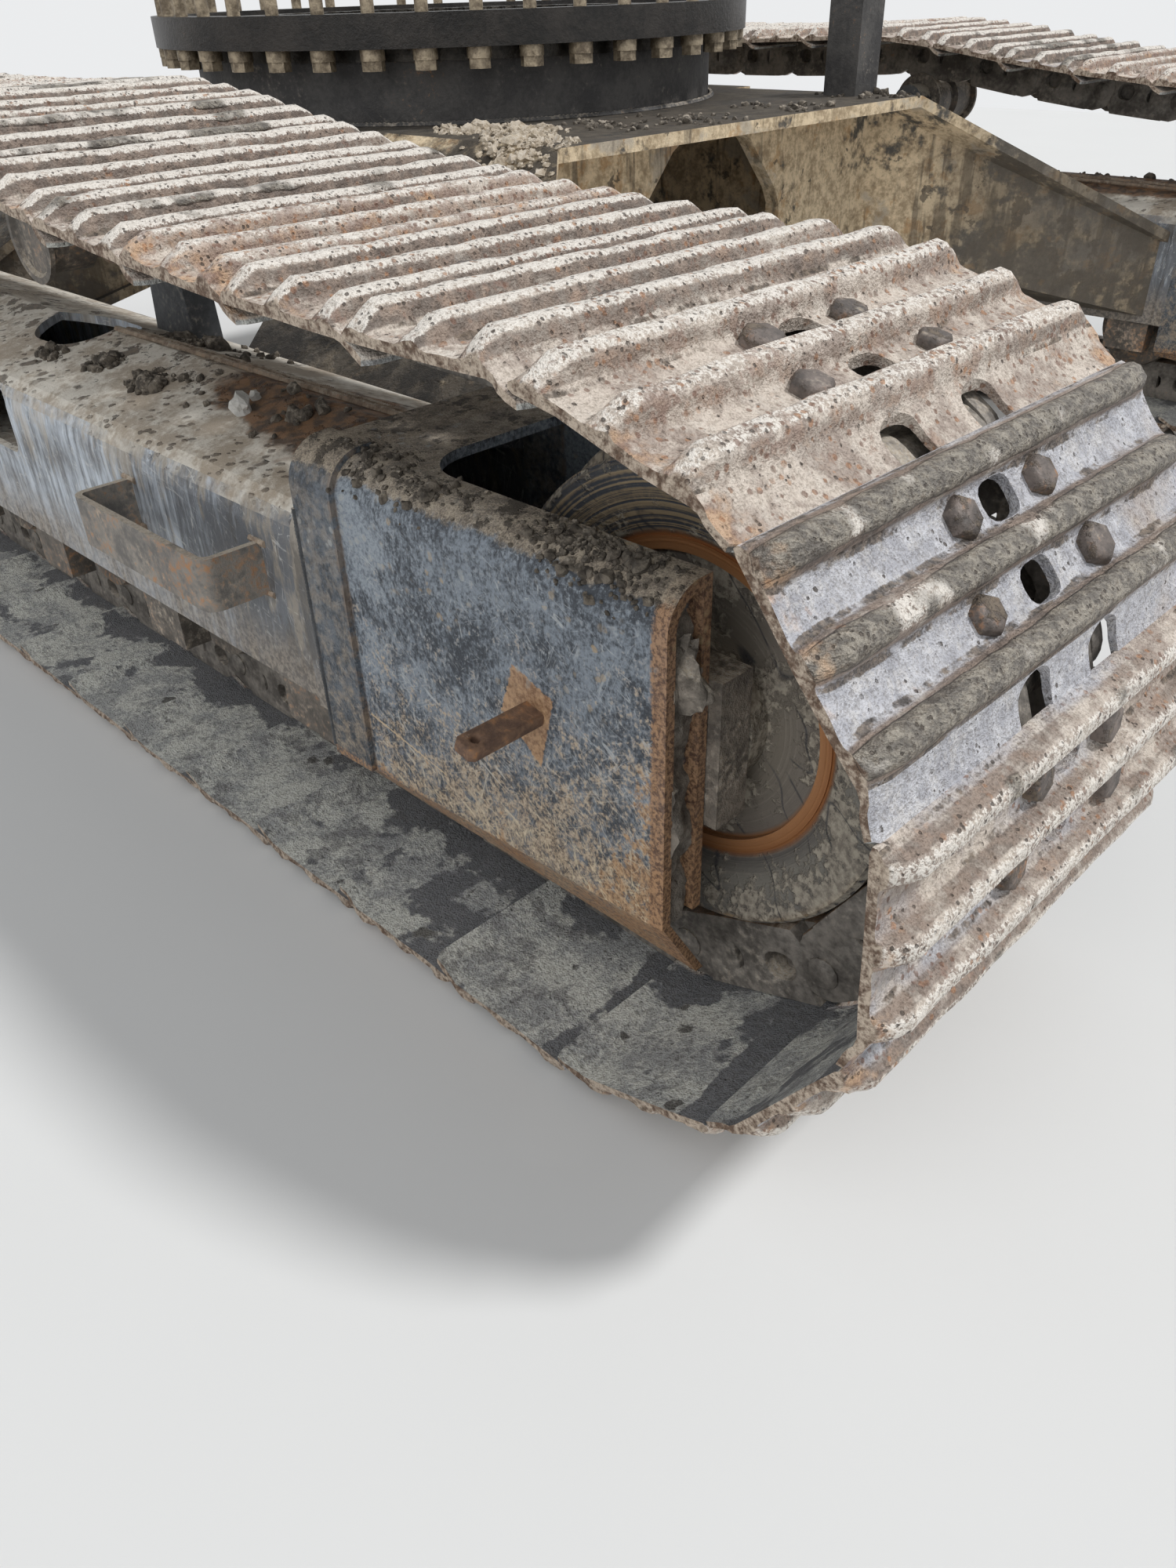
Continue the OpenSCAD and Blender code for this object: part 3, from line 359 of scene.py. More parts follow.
def makeIdlerSteel():
    # Turned rings about the wheel's axle: the radius picks the hue
    look = Look("idlerSteel")
    middle = (idlerPlace[0], 0, idlerPlace[1])
    away = look.node("ShaderNodeVectorMath", {"operation": "SUBTRACT"}, {0: look.place, 1: middle})
    flat = look.node("ShaderNodeVectorMath", {"operation": "MULTIPLY"}, {0: away.outputs[0], 1: (1, 0, 1)})
    radius = look.node("ShaderNodeVectorMath", {"operation": "LENGTH"}, {0: flat.outputs[0]}).outputs["Value"]
    radius = Value(look, radius)
    fine, patch = look.noises((0.009, 4, 0.65), (0.06, 4, 0.6))
    wobble = radius + (patch - 0.5) * 0.006
    rings = look.layers(radius + (look.noise(0.5, 1) - 0.5) * 0.01, 210.0, 3.0, 0.65)
    look.colour = look.ramp((wobble / 0.30).kept(), [
        (0.0, (0.13, 0.115, 0.095)), (1.0, (0.20, 0.12, 0.075)), (0.36, (0.24, 0.21, 0.17)),
        (0.53, (0.20, 0.175, 0.15)), (0.548, (0.42, 0.20, 0.085)), (0.60, (0.33, 0.135, 0.048)),
        (0.622, (0.13, 0.12, 0.11)), (0.70, (0.25, 0.235, 0.205)), (0.835, (0.18, 0.17, 0.155)),
        (0.90, (0.12, 0.115, 0.11))])
    # tread: blue-black with tan and orange lines round it
    tread = radius.rise(0.245, 0.258)
    bands = look.layers(look.y + (look.noise(0.25, 2) - 0.5) * 0.02, 120.0, 4.0, 0.7)
    lines = look.noise(0.010, 3, 0.65, look.stretched((0.25, 1.6, 0.25)))
    skin = look.mix((bands * 0.9 + lines * 0.4 + fine * 0.3 - 0.32).rise(0.40, 0.60), (0.055, 0.065, 0.085),
                    (0.46, 0.32, 0.18))
    skin = look.mix(patch.rise(0.52, 0.62) * 0.6, skin, (0.22, 0.19, 0.155))
    look.lay(tread, skin)
    rubbed = radius.rise(0.158, 0.164) * radius.fall(0.180, 0.186)
    turned = (rings * 0.9 + fine * 0.4 - 0.3).rise(0.3, 0.7)
    look.lay(turned * 0.4 * (1 - tread), (0.40, 0.36, 0.30), (0.52, 0.24, 0.09), rubbed)
    upper = look.z.rise(0.47, 0.57) * radius.rise(0.182, 0.190) * (1 - tread)
    look.lay(upper * 0.85, (0.050, 0.060, 0.080), (0.44, 0.33, 0.20),
             (rings * 0.8 + bands * 0.3 + fine * 0.2 - 0.15).rise(0.42, 0.58))
    # dried mud over the face and dark scribbles where it flaked
    crust = (look.noise(0.08, 5, 0.68) + fine * 0.4 - upper * 0.06 - 0.64).rise(0.02, 0.12) * (1 - rubbed)
    look.lay(crust * 0.8, (0.21, 0.18, 0.145), (0.46, 0.41, 0.33), fine.rise(0.35, 0.65))
    flaked = look.scratches(0.06, look.grain(3.0, (0, 0.7, 0)), 0.014) * patch.rise(0.40, 0.52) * (1 - rubbed)
    look.lay(flaked * 0.8, (0.050, 0.052, 0.060))
    height = rings * 0.4 + fine * 0.5 + crust * 1.3 + bands * tread * 0.4
    return look.finish((0.50 + crust * 0.4 + fine * 0.15).kept(), (0.25 - crust * 0.25).kept(), height, 0.0018)


def makeGuardPaint():
    # Blue-black paint, finely scratched all ways, dusty above, rusty along its edges and in its lower front corner
    look = Look("guardPaint")
    fine, mid, patch, blotch, grit = look.noises((0.0048, 4, 0.70), (0.018, 4, 0.66), (0.08, 4, 0.6), (0.30, 3, 0.6),
                                                 (0.0024, 2, 0.7))
    brushed = look.noise(0.0055, 4, 0.72, look.stretched((1, 1, 0.4)))
    look.colour = look.mix((patch * 0.7 + blotch * 0.4 + fine * 0.7 + brushed * 0.5 - 0.68).rise(0.33, 0.62),
                           (0.042, 0.049, 0.060), (0.235, 0.27, 0.31))
    rear = look.x.fall(1.55, 1.75) * look.x.rise(1.550, 1.556)
    grey = (rear * 0.30 + look.z.rise(0.30, 0.55) * 0.15 + patch * 0.7 + brushed * 0.6 - 0.85).rise(0.0, 0.25)
    look.lay(grey * 0.85, (0.17, 0.20, 0.235), (0.34, 0.38, 0.42), fine.rise(0.35, 0.6))
    speckle = (fine * 0.8 + mid * 0.5 - 0.72).rise(0.0, 0.07)
    look.lay(speckle * 0.55, (0.30, 0.33, 0.36))
    # brown film low down and forward, bare orange in patches
    lower = (0.40 - look.z) * 2.2 + (look.x - 1.66) * 0.45
    film = (lower + (blotch - 0.5) * 0.8 + (mid - 0.5) * 1.4 + (fine - 0.5) * 1.6 - 0.10).rise(0.0, 0.45)
    look.lay(film * 0.75, (0.14, 0.100, 0.070), (0.54, 0.41, 0.27), (fine * 0.7 + mid * 0.3).rise(0.42, 0.60))
    bare = (lower * 0.5 + patch + (mid - 0.5) * 0.8 - 0.82 + look.x.rise(1.90, 2.03) * 0.16).rise(0.0, 0.12)
    look.lay(bare * 0.75, (0.20, 0.105, 0.048), (0.46, 0.27, 0.13), fine.rise(0.38, 0.60))
    # fine scratches that cross each other, thickest below the middle
    thick = (lower * 0.45 + patch * 0.5 + blotch * 0.4).kept()
    pale = look.mix(lower.rise(0.1, 0.5), (0.50, 0.52, 0.53), (0.66, 0.55, 0.38))
    for size, turn, strength in ((0.016, 0.5, 0.7), (0.011, 0.72, 0.6), (0.013, -1.15, 0.5), (0.010, 1.4, 0.6),
                                 (0.017, -0.45, 0.45)):
        cut = look.scratches(size, look.grain(7.0, (0, turn, 0), (size * 30, 0, 0)), 0.011)
        here = look.noise(0.03, 2, 0.6, look.stretched((1, 1, 1), (size * 50, 0, 0)))
        shown = (thick + 0.09 + (here - 0.5) * 1.5).rise(0.50, 0.72)
        look.lay(cut * shown * strength, pale)
    long = look.within([(1.559, 0.277), (1.562, 0.281), (1.706, 0.2545), (1.706, 0.2515)], 0.001, fine, 0.004)
    look.lay(long * 0.85, (0.60, 0.46, 0.30))
    # bare ground-off patch round the stub bar
    bared = look.within([(1.819, 0.391), (1.842, 0.456), (1.904, 0.435), (1.880, 0.343)], 0.002, fine, 0.010)
    bared = bared * abs(look.y).rise(1.5, 1.51)
    look.lay(bared * 0.92, (0.24, 0.125, 0.060), (0.50, 0.31, 0.17), (fine * 0.6 + mid * 0.5 - 0.05).rise(0.38, 0.62))
    # the raised band is darker, with a brown edge
    band = look.x.fall(1.553, 1.558)
    look.lay(band * (0.35 + mid * 0.5).kept(), (0.040, 0.045, 0.052), (0.22, 0.19, 0.155), mid.rise(0.40, 0.6))
    edgeLine = look.x.rise(1.548, 1.552) * look.x.fall(1.555, 1.560)
    look.lay(edgeLine * mid.rise(0.40, 0.52) * 0.4, (0.22, 0.15, 0.10))
    front = look.x.rise(2.026, 2.042) + look.z.fall(0.192, 0.215) * 0.7
    edge = (front * 0.7 + patch * 0.4 + (fine - 0.5) * 0.8 - 0.5).rise(0.0, 0.3)
    look.lay(edge * 0.9, (0.12, 0.060, 0.034), (0.40, 0.23, 0.12), fine.rise(0.38, 0.60))
    # dust on the rounded top, and dried mud streaked over its shoulder
    lying = look.faceZ.rise(0.15, 0.9)
    dust = (lying * 0.60 + look.noise(0.05, 5, 0.72) * 1.2 + look.z.rise(0.52, 0.61) * 0.24 - 1.03).rise(0.0, 0.22)
    look.lay(dust * 0.88, (0.17, 0.14, 0.11), (0.50, 0.42, 0.32), (grit * 0.5 + mid * 0.5).rise(0.38, 0.62))
    chips = look.spots(0.016, 0.30, fine) * patch.rise(0.47, 0.60) * look.z.rise(0.36, 0.50)
    look.lay(chips * 0.65, (0.46, 0.34, 0.20), (0.42, 0.43, 0.42), blotch.rise(0.45, 0.55))
    clod = (look.noise(0.035, 5, 0.72) + lying * 0.16 - 0.67).rise(0.01, 0.10)
    look.lay(clod * 0.85, mudColours["dark"])
    height = fine * 0.6 + grit * 0.4 + dust * 0.6 + clod * 1.5
    return look.finish((0.48 + dust * 0.4 + film * 0.2 + fine * 0.1).kept(), (0.15 - dust * 0.15 - film * 0.1).kept(),
                       height, 0.0018)


def makeFramePaint():
    # The track frame: pale dust with dark spots above, brushed blue-grey walls, brown dust below
    look = Look("trackFramePaint")
    fine, mid, patch, blotch, grit = look.noises((0.008, 4, 0.65), (0.022, 3, 0.6), (0.10, 4, 0.6), (0.35, 3, 0.6),
                                                 (0.0026, 2, 0.7))
    brushed = look.noise(0.014, 4, 0.7, look.stretched((1, 1, 0.12)))
    toGuard = look.x.rise(1.05, 1.40)
    look.colour = look.mix((patch * 0.6 + brushed * 0.9 + blotch * 0.3 + toGuard * 0.22 - 0.42).rise(0.30, 0.66),
                           (0.57, 0.62, 0.68), (0.16, 0.17, 0.185))
    for size, turn in ((0.012, 1.35), (0.016, 1.8), (0.020, 0.3)):
        cut = look.scratches(size, look.grain(8.0, (0, turn, 0), (size * 20, 0, 0)), 0.013) * mid.rise(0.45, 0.58)
        look.lay(cut * 0.6, (0.66, 0.66, 0.64))
    tan = look.noise(0.05, 4, 0.7, look.stretched((1, 1, 0.3))) + blotch * 0.5 + look.z.rise(0.40, 0.50) * 0.10 - 0.82
    tan = tan.rise(0.0, 0.10)
    look.lay(tan * 0.45, (0.50, 0.42, 0.31))
    stain = look.noise(0.06, 5, 0.7, look.stretched((1, 1, 0.4))) + blotch * 0.5 + toGuard * 0.10 - 0.86
    stain = stain.rise(0.02, 0.12)
    look.lay(stain * 0.7, (0.10, 0.092, 0.083))
    lying = look.faceZ.rise(0.15, 0.85)
    dust = (lying * 0.85 + look.noise(0.12, 5, 0.68) * 1.0 - 0.76).rise(0.0, 0.40)
    dusty = look.mix((patch + mid * 0.4 + fine * 0.4 - 0.4).rise(0.38, 0.62), (0.46, 0.385, 0.300), (0.80, 0.75, 0.66))
    look.lay(dust * 0.94, dusty)
    low = look.z.fall(0.27, 0.36)
    look.lay((low * 0.8 + (patch - 0.5)).kept() * 0.8, (0.17, 0.14, 0.11), (0.40, 0.34, 0.27), fine.rise(0.4, 0.6))
    # dark spots and streaks of mud on the top, and crowded stains under the chain
    crowd = abs(abs(look.y) - halfGauge).fall(0.02, 0.15)
    drops = look.spots(0.034, 0.34, mid, look.grain(2.4, (0, 0, 0.55))) * (patch + lying * 0.2).rise(0.70, 0.79)
    small = look.spots(0.014, 0.27, fine, look.grain(2.2, (0, 0, 0.4))) * blotch.rise(0.45, 0.54)
    clod = (look.noise(0.050, 5, 0.66) + lying * 0.12 + crowd * 0.13 - 0.77).rise(0.01, 0.05)
    soiled = (drops.most(small * 0.85).most(clod)) * (lying * 0.95 + 0.04)
    look.lay(soiled * 0.85, mudColours["dark"], (0.17, 0.13, 0.095), fine.rise(0.35, 0.6))
    wet = (blotch * 0.5 + patch * 0.4 + crowd * 0.35 + look.x.rise(0.84, 1.20) * 0.34 - look.x.rise(1.38, 1.46) * 0.3
           - 0.87).rise(0.0, 0.07) * lying
    look.lay(wet * 0.92, (0.055, 0.030, 0.017), (0.22, 0.105, 0.040), mid.rise(0.38, 0.62))
    height = fine * 0.5 + grit * 0.4 + soiled * 1.6 + patch * 0.4
    return look.finish((0.52 + dust * 0.35 + soiled * 0.1 - wet * 0.25).kept(), (0.2 - dust * 0.2).kept(), height,
                       0.002)


def makeBodyPaint():
    # Carbody: dark paint under olive-tan mud that was splashed on, ran and dried
    look = Look("bodyMud")
    fine, mid, patch, blotch, grit = look.noises((0.008, 4, 0.65), (0.030, 4, 0.65), (0.12, 5, 0.66), (0.42, 3, 0.6),
                                                 (0.0025, 2, 0.7))
    outboard = abs(look.y).rise(0.64, 0.85)      # the legs are darker than the box
    look.colour = look.mix((patch * 0.6 + fine * 0.5 - 0.05).rise(0.35, 0.68), (0.075, 0.070, 0.060),
                           (0.21, 0.19, 0.16))
    splash = (patch * 1.1 + blotch * 0.8 + mid * 0.4 - outboard * 0.30 - 0.82).rise(0.0, 0.18)
    hue = look.mix((mid + fine * 0.5 - 0.25).rise(0.33, 0.66), (0.42, 0.315, 0.195), (0.84, 0.68, 0.46))
    look.lay(splash * 0.9, hue)
    grey = (look.noise(0.20, 4, 0.6) + mid * 0.3 - 0.68).rise(0.0, 0.08)
    look.lay(grey * 0.55, (0.34, 0.32, 0.29))
    orange = (look.noise(0.07, 4, 0.7) + blotch * 0.4 - 0.74).rise(0.02, 0.10)
    look.lay(orange * 0.6, (0.46, 0.27, 0.12))
    runs = look.noise(0.03, 3, 0.6, look.stretched((1, 1, 0.10))) + blotch * 0.5 + outboard * 0.06 - 0.80
    runs = runs.rise(0.02, 0.12)
    lying = look.faceZ.rise(0.75, 0.97)
    look.lay(runs * 0.6 * (1 - lying), (0.055, 0.046, 0.036))
    blots = (look.noise(0.055, 4, 0.62) + outboard * 0.10 - 0.65).rise(0.0, 0.03)
    look.lay(blots * 0.75, (0.030, 0.027, 0.023), (0.13, 0.105, 0.08), fine)
    look.lay(outboard * 0.72, (0.07, 0.058, 0.043), (0.19, 0.155, 0.115), mid)
    # on top it is dark gravelly dirt, painted near-black as the shade of the machine above, darkest under the ring
    topDirtAndShade = (lying * 0.72 + look.noise(0.09, 5, 0.7) - 0.62).rise(0.02, 0.25)
    look.lay(topDirtAndShade * 0.94, (0.010, 0.009, 0.008), (0.046, 0.038, 0.031), (grit * 0.6 + mid * 0.5).rise(0.42, 0.70))
    height = fine * 0.5 + grit * 0.5 + splash * 0.6 + topDirtAndShade * 0.9 + patch * 0.5
    return look.finish((0.62 + splash * 0.3).kept(), 0.05, height, 0.0025)


run = {"pitch": 0.2032, "grip": 0.084, "rail": 0.046, "idlerR": 0.2605, "idlerX": 1.974, "teeth": 21,
       "sprocket": (-1.958, 0.487), "liftX": -1.608, "front": (0.608, 0.837), "rear": (-0.608, 0.829), "rearSag": 0.014,
       "frontSag": 0.035, "start": -0.023}


def arc(middle, r, a0, a1, n=40):
    turns = [radians(a0 + (a1 - a0) * i / n) for i in range(n + 1)]
    return [(middle[0] + r * cos(a), middle[1] + r * sin(a)) for a in turns]


def sag(p, q, depth, n):
    shares = [i / n for i in range(1, n)]
    return [(p[0] + (q[0] - p[0]) * s, p[1] + (q[1] - p[1]) * s - 4 * depth * s * (1 - s)) for s in shares]


def chainLine():
    # The chain's path as part.scad draws it, in metres: pins, directions, and the two wheels' places
    wheelR = hypot(run["idlerR"] + run["rail"], run["pitch"] / 2)
    toothR = run["pitch"] * run["teeth"] / 2 / (2 * pi)
    idler, sprocket = (run["idlerX"], run["grip"] + wheelR), run["sprocket"]
    top = (idler[0], idler[1] + wheelR)
    climb = degrees(atan2(sprocket[1] - toothR - run["grip"], run["liftX"] - sprocket[0]))
    path = np.array(arc(idler, wheelR, 90, -90) + [(run["liftX"], run["grip"])] + arc(sprocket, toothR, 270 - climb, 90)
                    + [run["rear"]] + sag(run["rear"], run["front"], run["rearSag"], 8)
                    + [run["front"]] + sag(run["front"], top, run["frontSag"], 12) + [top])
    gone = np.r_[0, np.cumsum(np.linalg.norm(np.diff(path, axis=0), axis=1))]
    count = round(gone[-1] / run["pitch"])
    pitch = gone[-1] / count
    at = (run["start"] + np.arange(count) * pitch) % gone[-1]
    pins = np.c_[np.interp(at, gone, path[:, 0]), np.interp(at, gone, path[:, 1])]
    pins[pins[:, 1] < run["grip"] + 0.002, 1] = run["grip"]
    ahead = np.roll(pins, -1, 0) - pins
    ahead /= np.linalg.norm(ahead, axis=1)[:, None]
    return pins, ahead, pitch, idler, sprocket


pins, ahead, pitch, idlerPlace, sprocketPlace = chainLine()
turnY = np.arctan2(-ahead[:, 1], ahead[:, 0])
normals = np.c_[-ahead[:, 1], ahead[:, 0]]
linkCount = len(pins)
print("chain line:", linkCount, "links of", round(pitch, 4))


# Shapes
def painted(piece, *materials):
    piece.data.materials.clear()
    for material in materials:
        piece.data.materials.append(material)
    return piece


def meshObject(name, verts, faces, *materials):
    mesh = bpy.data.meshes.new(name)
    mesh.from_pydata([tuple(v) for v in verts], [], [tuple(int(i) for i in f) for f in faces])
    mesh.update()
    return painted(newObject(name, mesh), *materials)


def objectFrom(name, bm, *materials):
    # Writes a bmesh out as an object
    made = painted(newObject(name, bpy.data.meshes.new(name)), *materials)
    bm.to_mesh(made.data)
    bm.free()
    return made


@contextmanager
def editing(piece):
    # Opens a piece's mesh as a bmesh and writes it back
    bm = bmesh.new()
    bm.from_mesh(piece.data)
    yield bm
    bm.to_mesh(piece.data)
    bm.free()


def weldPoints(bm):
    bmesh.ops.remove_doubles(bm, verts=bm.verts, dist=1e-5)


def closed(piece, welds=True, caps=False):
    # Joins double points, fills open ends and turns the faces outward
    with editing(piece) as bm:
        if welds:
            weldPoints(bm)
        if caps:
            bmesh.ops.holes_fill(bm, edges=[e for e in bm.edges if e.is_boundary], sides=0)
        bmesh.ops.recalc_face_normals(bm, faces=bm.faces)
    return piece


def setSmooth(piece, angle):
    with editing(piece) as bm:
        for edge in bm.edges:
            edge.smooth = len(edge.link_faces) == 2 and edge.calc_face_angle(3) < radians(angle)
        for face in bm.faces:
            face.smooth = True


def finished(piece, sharp=40, standsFor=None):
    setSmooth(piece, sharp)
    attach(piece, "undercarriage")
    if standsFor:
        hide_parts(standsFor)


def numbers(items, what, width=1):
    # One property of all of a mesh's points or faces
    values = np.empty(len(items) * width, np.float32)
    items.foreach_get(what, values)
    return values.reshape(-1, width) if width > 1 else values


def pointsOf(piece):
    return numbers(piece.data.vertices, "co", 3).astype(float)


def putPoints(piece, co):
    piece.data.vertices.foreach_set("co", np.asarray(co, np.float32).ravel())
    piece.data.update()


def addAttributes(piece, **attributes):
    for name, values in attributes.items():
        values = np.asarray(values, np.float32)
        kind, field = ("FLOAT_VECTOR", "vector") if values.ndim > 1 else ("FLOAT", "value")
        piece.data.attributes.new(name, kind, "POINT").data.foreach_set(field, values.ravel())


def drop(thing):
    bpy.data.objects.remove(thing, do_unlink=True)


def evaluated(thing, name):
    # The object with its modifiers applied, as a new plain mesh in its place
    bpy.context.view_layer.update()
    graph = bpy.context.evaluated_depsgraph_get()
    mesh = bpy.data.meshes.new_from_object(thing.evaluated_get(graph), depsgraph=graph)
    mesh.name = name
    made = newObject(name, mesh)
    drop(thing)
    return made


def fromCurve(name, lines, closes, materials, radii=None, **settings):
    # The solid that a curve with a bevel makes
    curve = bpy.data.curves.new(name, "CURVE")
    for key, value in settings.items():
        setattr(curve, key, value)
    for line in lines:
        spline = curve.splines.new("POLY")
        spline.points.add(len(line) - 1)
        for k, place in enumerate(line):
            spline.points[k].co = (*place, 1)
            if radii:
                spline.points[k].radius = radii[k]
        spline.use_cyclic_u = closes
    return painted(evaluated(newObject(name, curve), name), *materials)


def joined(name, pieces):
    # Several objects as one mesh, with the materials of all
    bm = bmesh.new()
    materials = []
    for piece in pieces:
        start = len(bm.faces)
        bm.from_mesh(piece.data)
        bm.faces.ensure_lookup_table()
        slots = piece.data.materials
        for face in bm.faces[start:]:
            material = slots[face.material_index] if slots else None
            if material not in materials:
                materials.append(material)
            face.material_index = materials.index(material)
    made = objectFrom(name, bm, *materials)
    for piece in pieces:
        drop(piece)
    return made


def moved(piece, matrix):
    piece.data.transform(matrix)
    if matrix.determinant() < 0:
        piece.data.flip_normals()
    return piece


def lathe(name, profile, place, steps):
    # profile: (radius, y) pairs, in order; the axis runs along y through place (x, y, z)
    verts, faces = [], []
    n = len(profile)
    for i in range(steps):
        a, j = 2 * pi * i / steps, (i + 1) % steps
        verts += [(place[0] + r * cos(a), place[1] + y, place[2] + r * sin(a)) for r, y in profile]
        faces += [(i * n + k, i * n + k + 1, j * n + k + 1, j * n + k) for k in range(n - 1)]
    return closed(meshObject(name, verts, faces), caps=True)


def plate(name, loops, thick, bevel, *materials, rounds=1):
    # A flat plate from outlines in x and y (holes are further loops), with rounded edges, about z = 0
    lines = [[(x, y, 0) for x, y in loop] for loop in loops]
    return closed(fromCurve(name, lines, True, materials, dimensions="2D", fill_mode="BOTH", extrude=thick / 2 - bevel,
                            bevel_depth=bevel, bevel_resolution=rounds, offset=-bevel))


def roundLoop(cx, cy, rx, ry, steps, power=2.0):
    loop = []
    for i in range(steps):
        c, s = cos(2 * pi * i / steps), sin(2 * pi * i / steps)
        loop.append((cx + rx * abs(c) ** (2 / power) * (1 if c >= 0 else -1),
                     cy + ry * abs(s) ** (2 / power) * (1 if s >= 0 else -1)))
    return loop


lump = {"seed": (7.3, -3.1, 5.7), "octave": 9.1, "finer": 2.1, "weaker": 0.5}


def rough(co, size, depth, seed=0, octaves=3):
    # Smooth noise for many points at once, about -depth to depth
    out = np.zeros(len(co))
    sx, sy, sz = (seed * s for s in lump["seed"])
    for i, p in enumerate(co):
        a, total, f = depth, 0.0, 1 / size
        for k in range(octaves):
            total += a * noise.noise(Vector((p[0] * f + sx, p[1] * f + sy + k * lump["octave"], p[2] * f + sz)))
            a *= lump["weaker"]
            f *= lump["finer"]
        out[i] = total
    return out


# Repeats one shape at a mesh's points, which carry its turn and growth. The result keeps their attributes.
def repeatTree():
    tree = bpy.data.node_groups.new("repeatShape", "GeometryNodeTree")
    for name, kind in (("Places", "Geometry"), ("Shape", "Object"), ("Finish", "Material"), ("Size", "Float")):
        tree.interface.new_socket(name, in_out="INPUT", socket_type="NodeSocket" + kind)
    tree.interface.new_socket("Result", in_out="OUTPUT", socket_type="NodeSocketGeometry")
    given = addNode(tree, "NodeGroupInput").outputs
    shape = addNode(tree, "GeometryNodeObjectInfo", {}, {"Object": given["Shape"]})
    turn = addNode(tree, "GeometryNodeInputNamedAttribute", {"data_type": "FLOAT_VECTOR"}, {"Name": "turn"})
    asTurn = addNode(tree, "FunctionNodeEulerToRotation", {}, {0: turn.outputs["Attribute"]})
    grow = addNode(tree, "GeometryNodeInputNamedAttribute", {"data_type": "FLOAT"}, {"Name": "grow"})
    times = addNode(tree, "ShaderNodeMath", {"operation": "MULTIPLY"}, {0: given["Size"], 1: grow.outputs["Attribute"]})
    repeat = addNode(tree, "GeometryNodeInstanceOnPoints", {}, {
        "Points": given["Places"], "Instance": shape.outputs["Geometry"], "Rotation": asTurn.outputs[0],
        "Scale": times.outputs[0]})
    real = addNode(tree, "GeometryNodeRealizeInstances", {}, {"Geometry": repeat.outputs["Instances"]})
    paint = addNode(tree, "GeometryNodeSetMaterial", {},
                    {"Geometry": real.outputs["Geometry"], "Material": given["Finish"]})
    addNode(tree, "NodeGroupOutput", {}, {"Result": paint.outputs["Geometry"]})
    return tree


repeatShape = repeatTree()


def repeated(name, shape, places, turns, material, size=1.0, seeds=None, grows=None):
    base = meshObject(name + "Places", places, [])
    addAttributes(base, turn=turns, seed=np.zeros(len(places)) if seeds is None else seeds,
                  grow=np.ones(len(places)) if grows is None else grows)
    modifier = base.modifiers.new("repeat", "NODES")
    modifier.node_group = repeatShape
    ids = {item.name: item.identifier for item in repeatShape.interface.items_tree if item.in_out == "INPUT"}
    for key, value in {"Shape": shape, "Finish": material, "Size": size}.items():
        modifier[ids[key]] = value
    return evaluated(base, name)


def onEachLink(name, shape, middle, material):
    # A copy of the shape at each pin, turned with its link
    seeds = rng.random(linkCount)
    if "shoes" in name:
        for k, seed in shoe["seeds"].items():
            seeds[k] = seed
    return repeated(name, shape, [(p[0], middle, p[1]) for p in pins], [(0, a, 0) for a in turnY], material,
                    seeds=seeds)


def nearestLink(co):
    gaps = [(co[:, None, i] - (pins[:, j] + ahead[:, j] * 0.1)) ** 2 for i, j in ((0, 0), (2, 1))]
    return np.argmin(gaps[0] + gaps[1], axis=1)


rng = np.random.default_rng(7)
print("shape helpers ready")


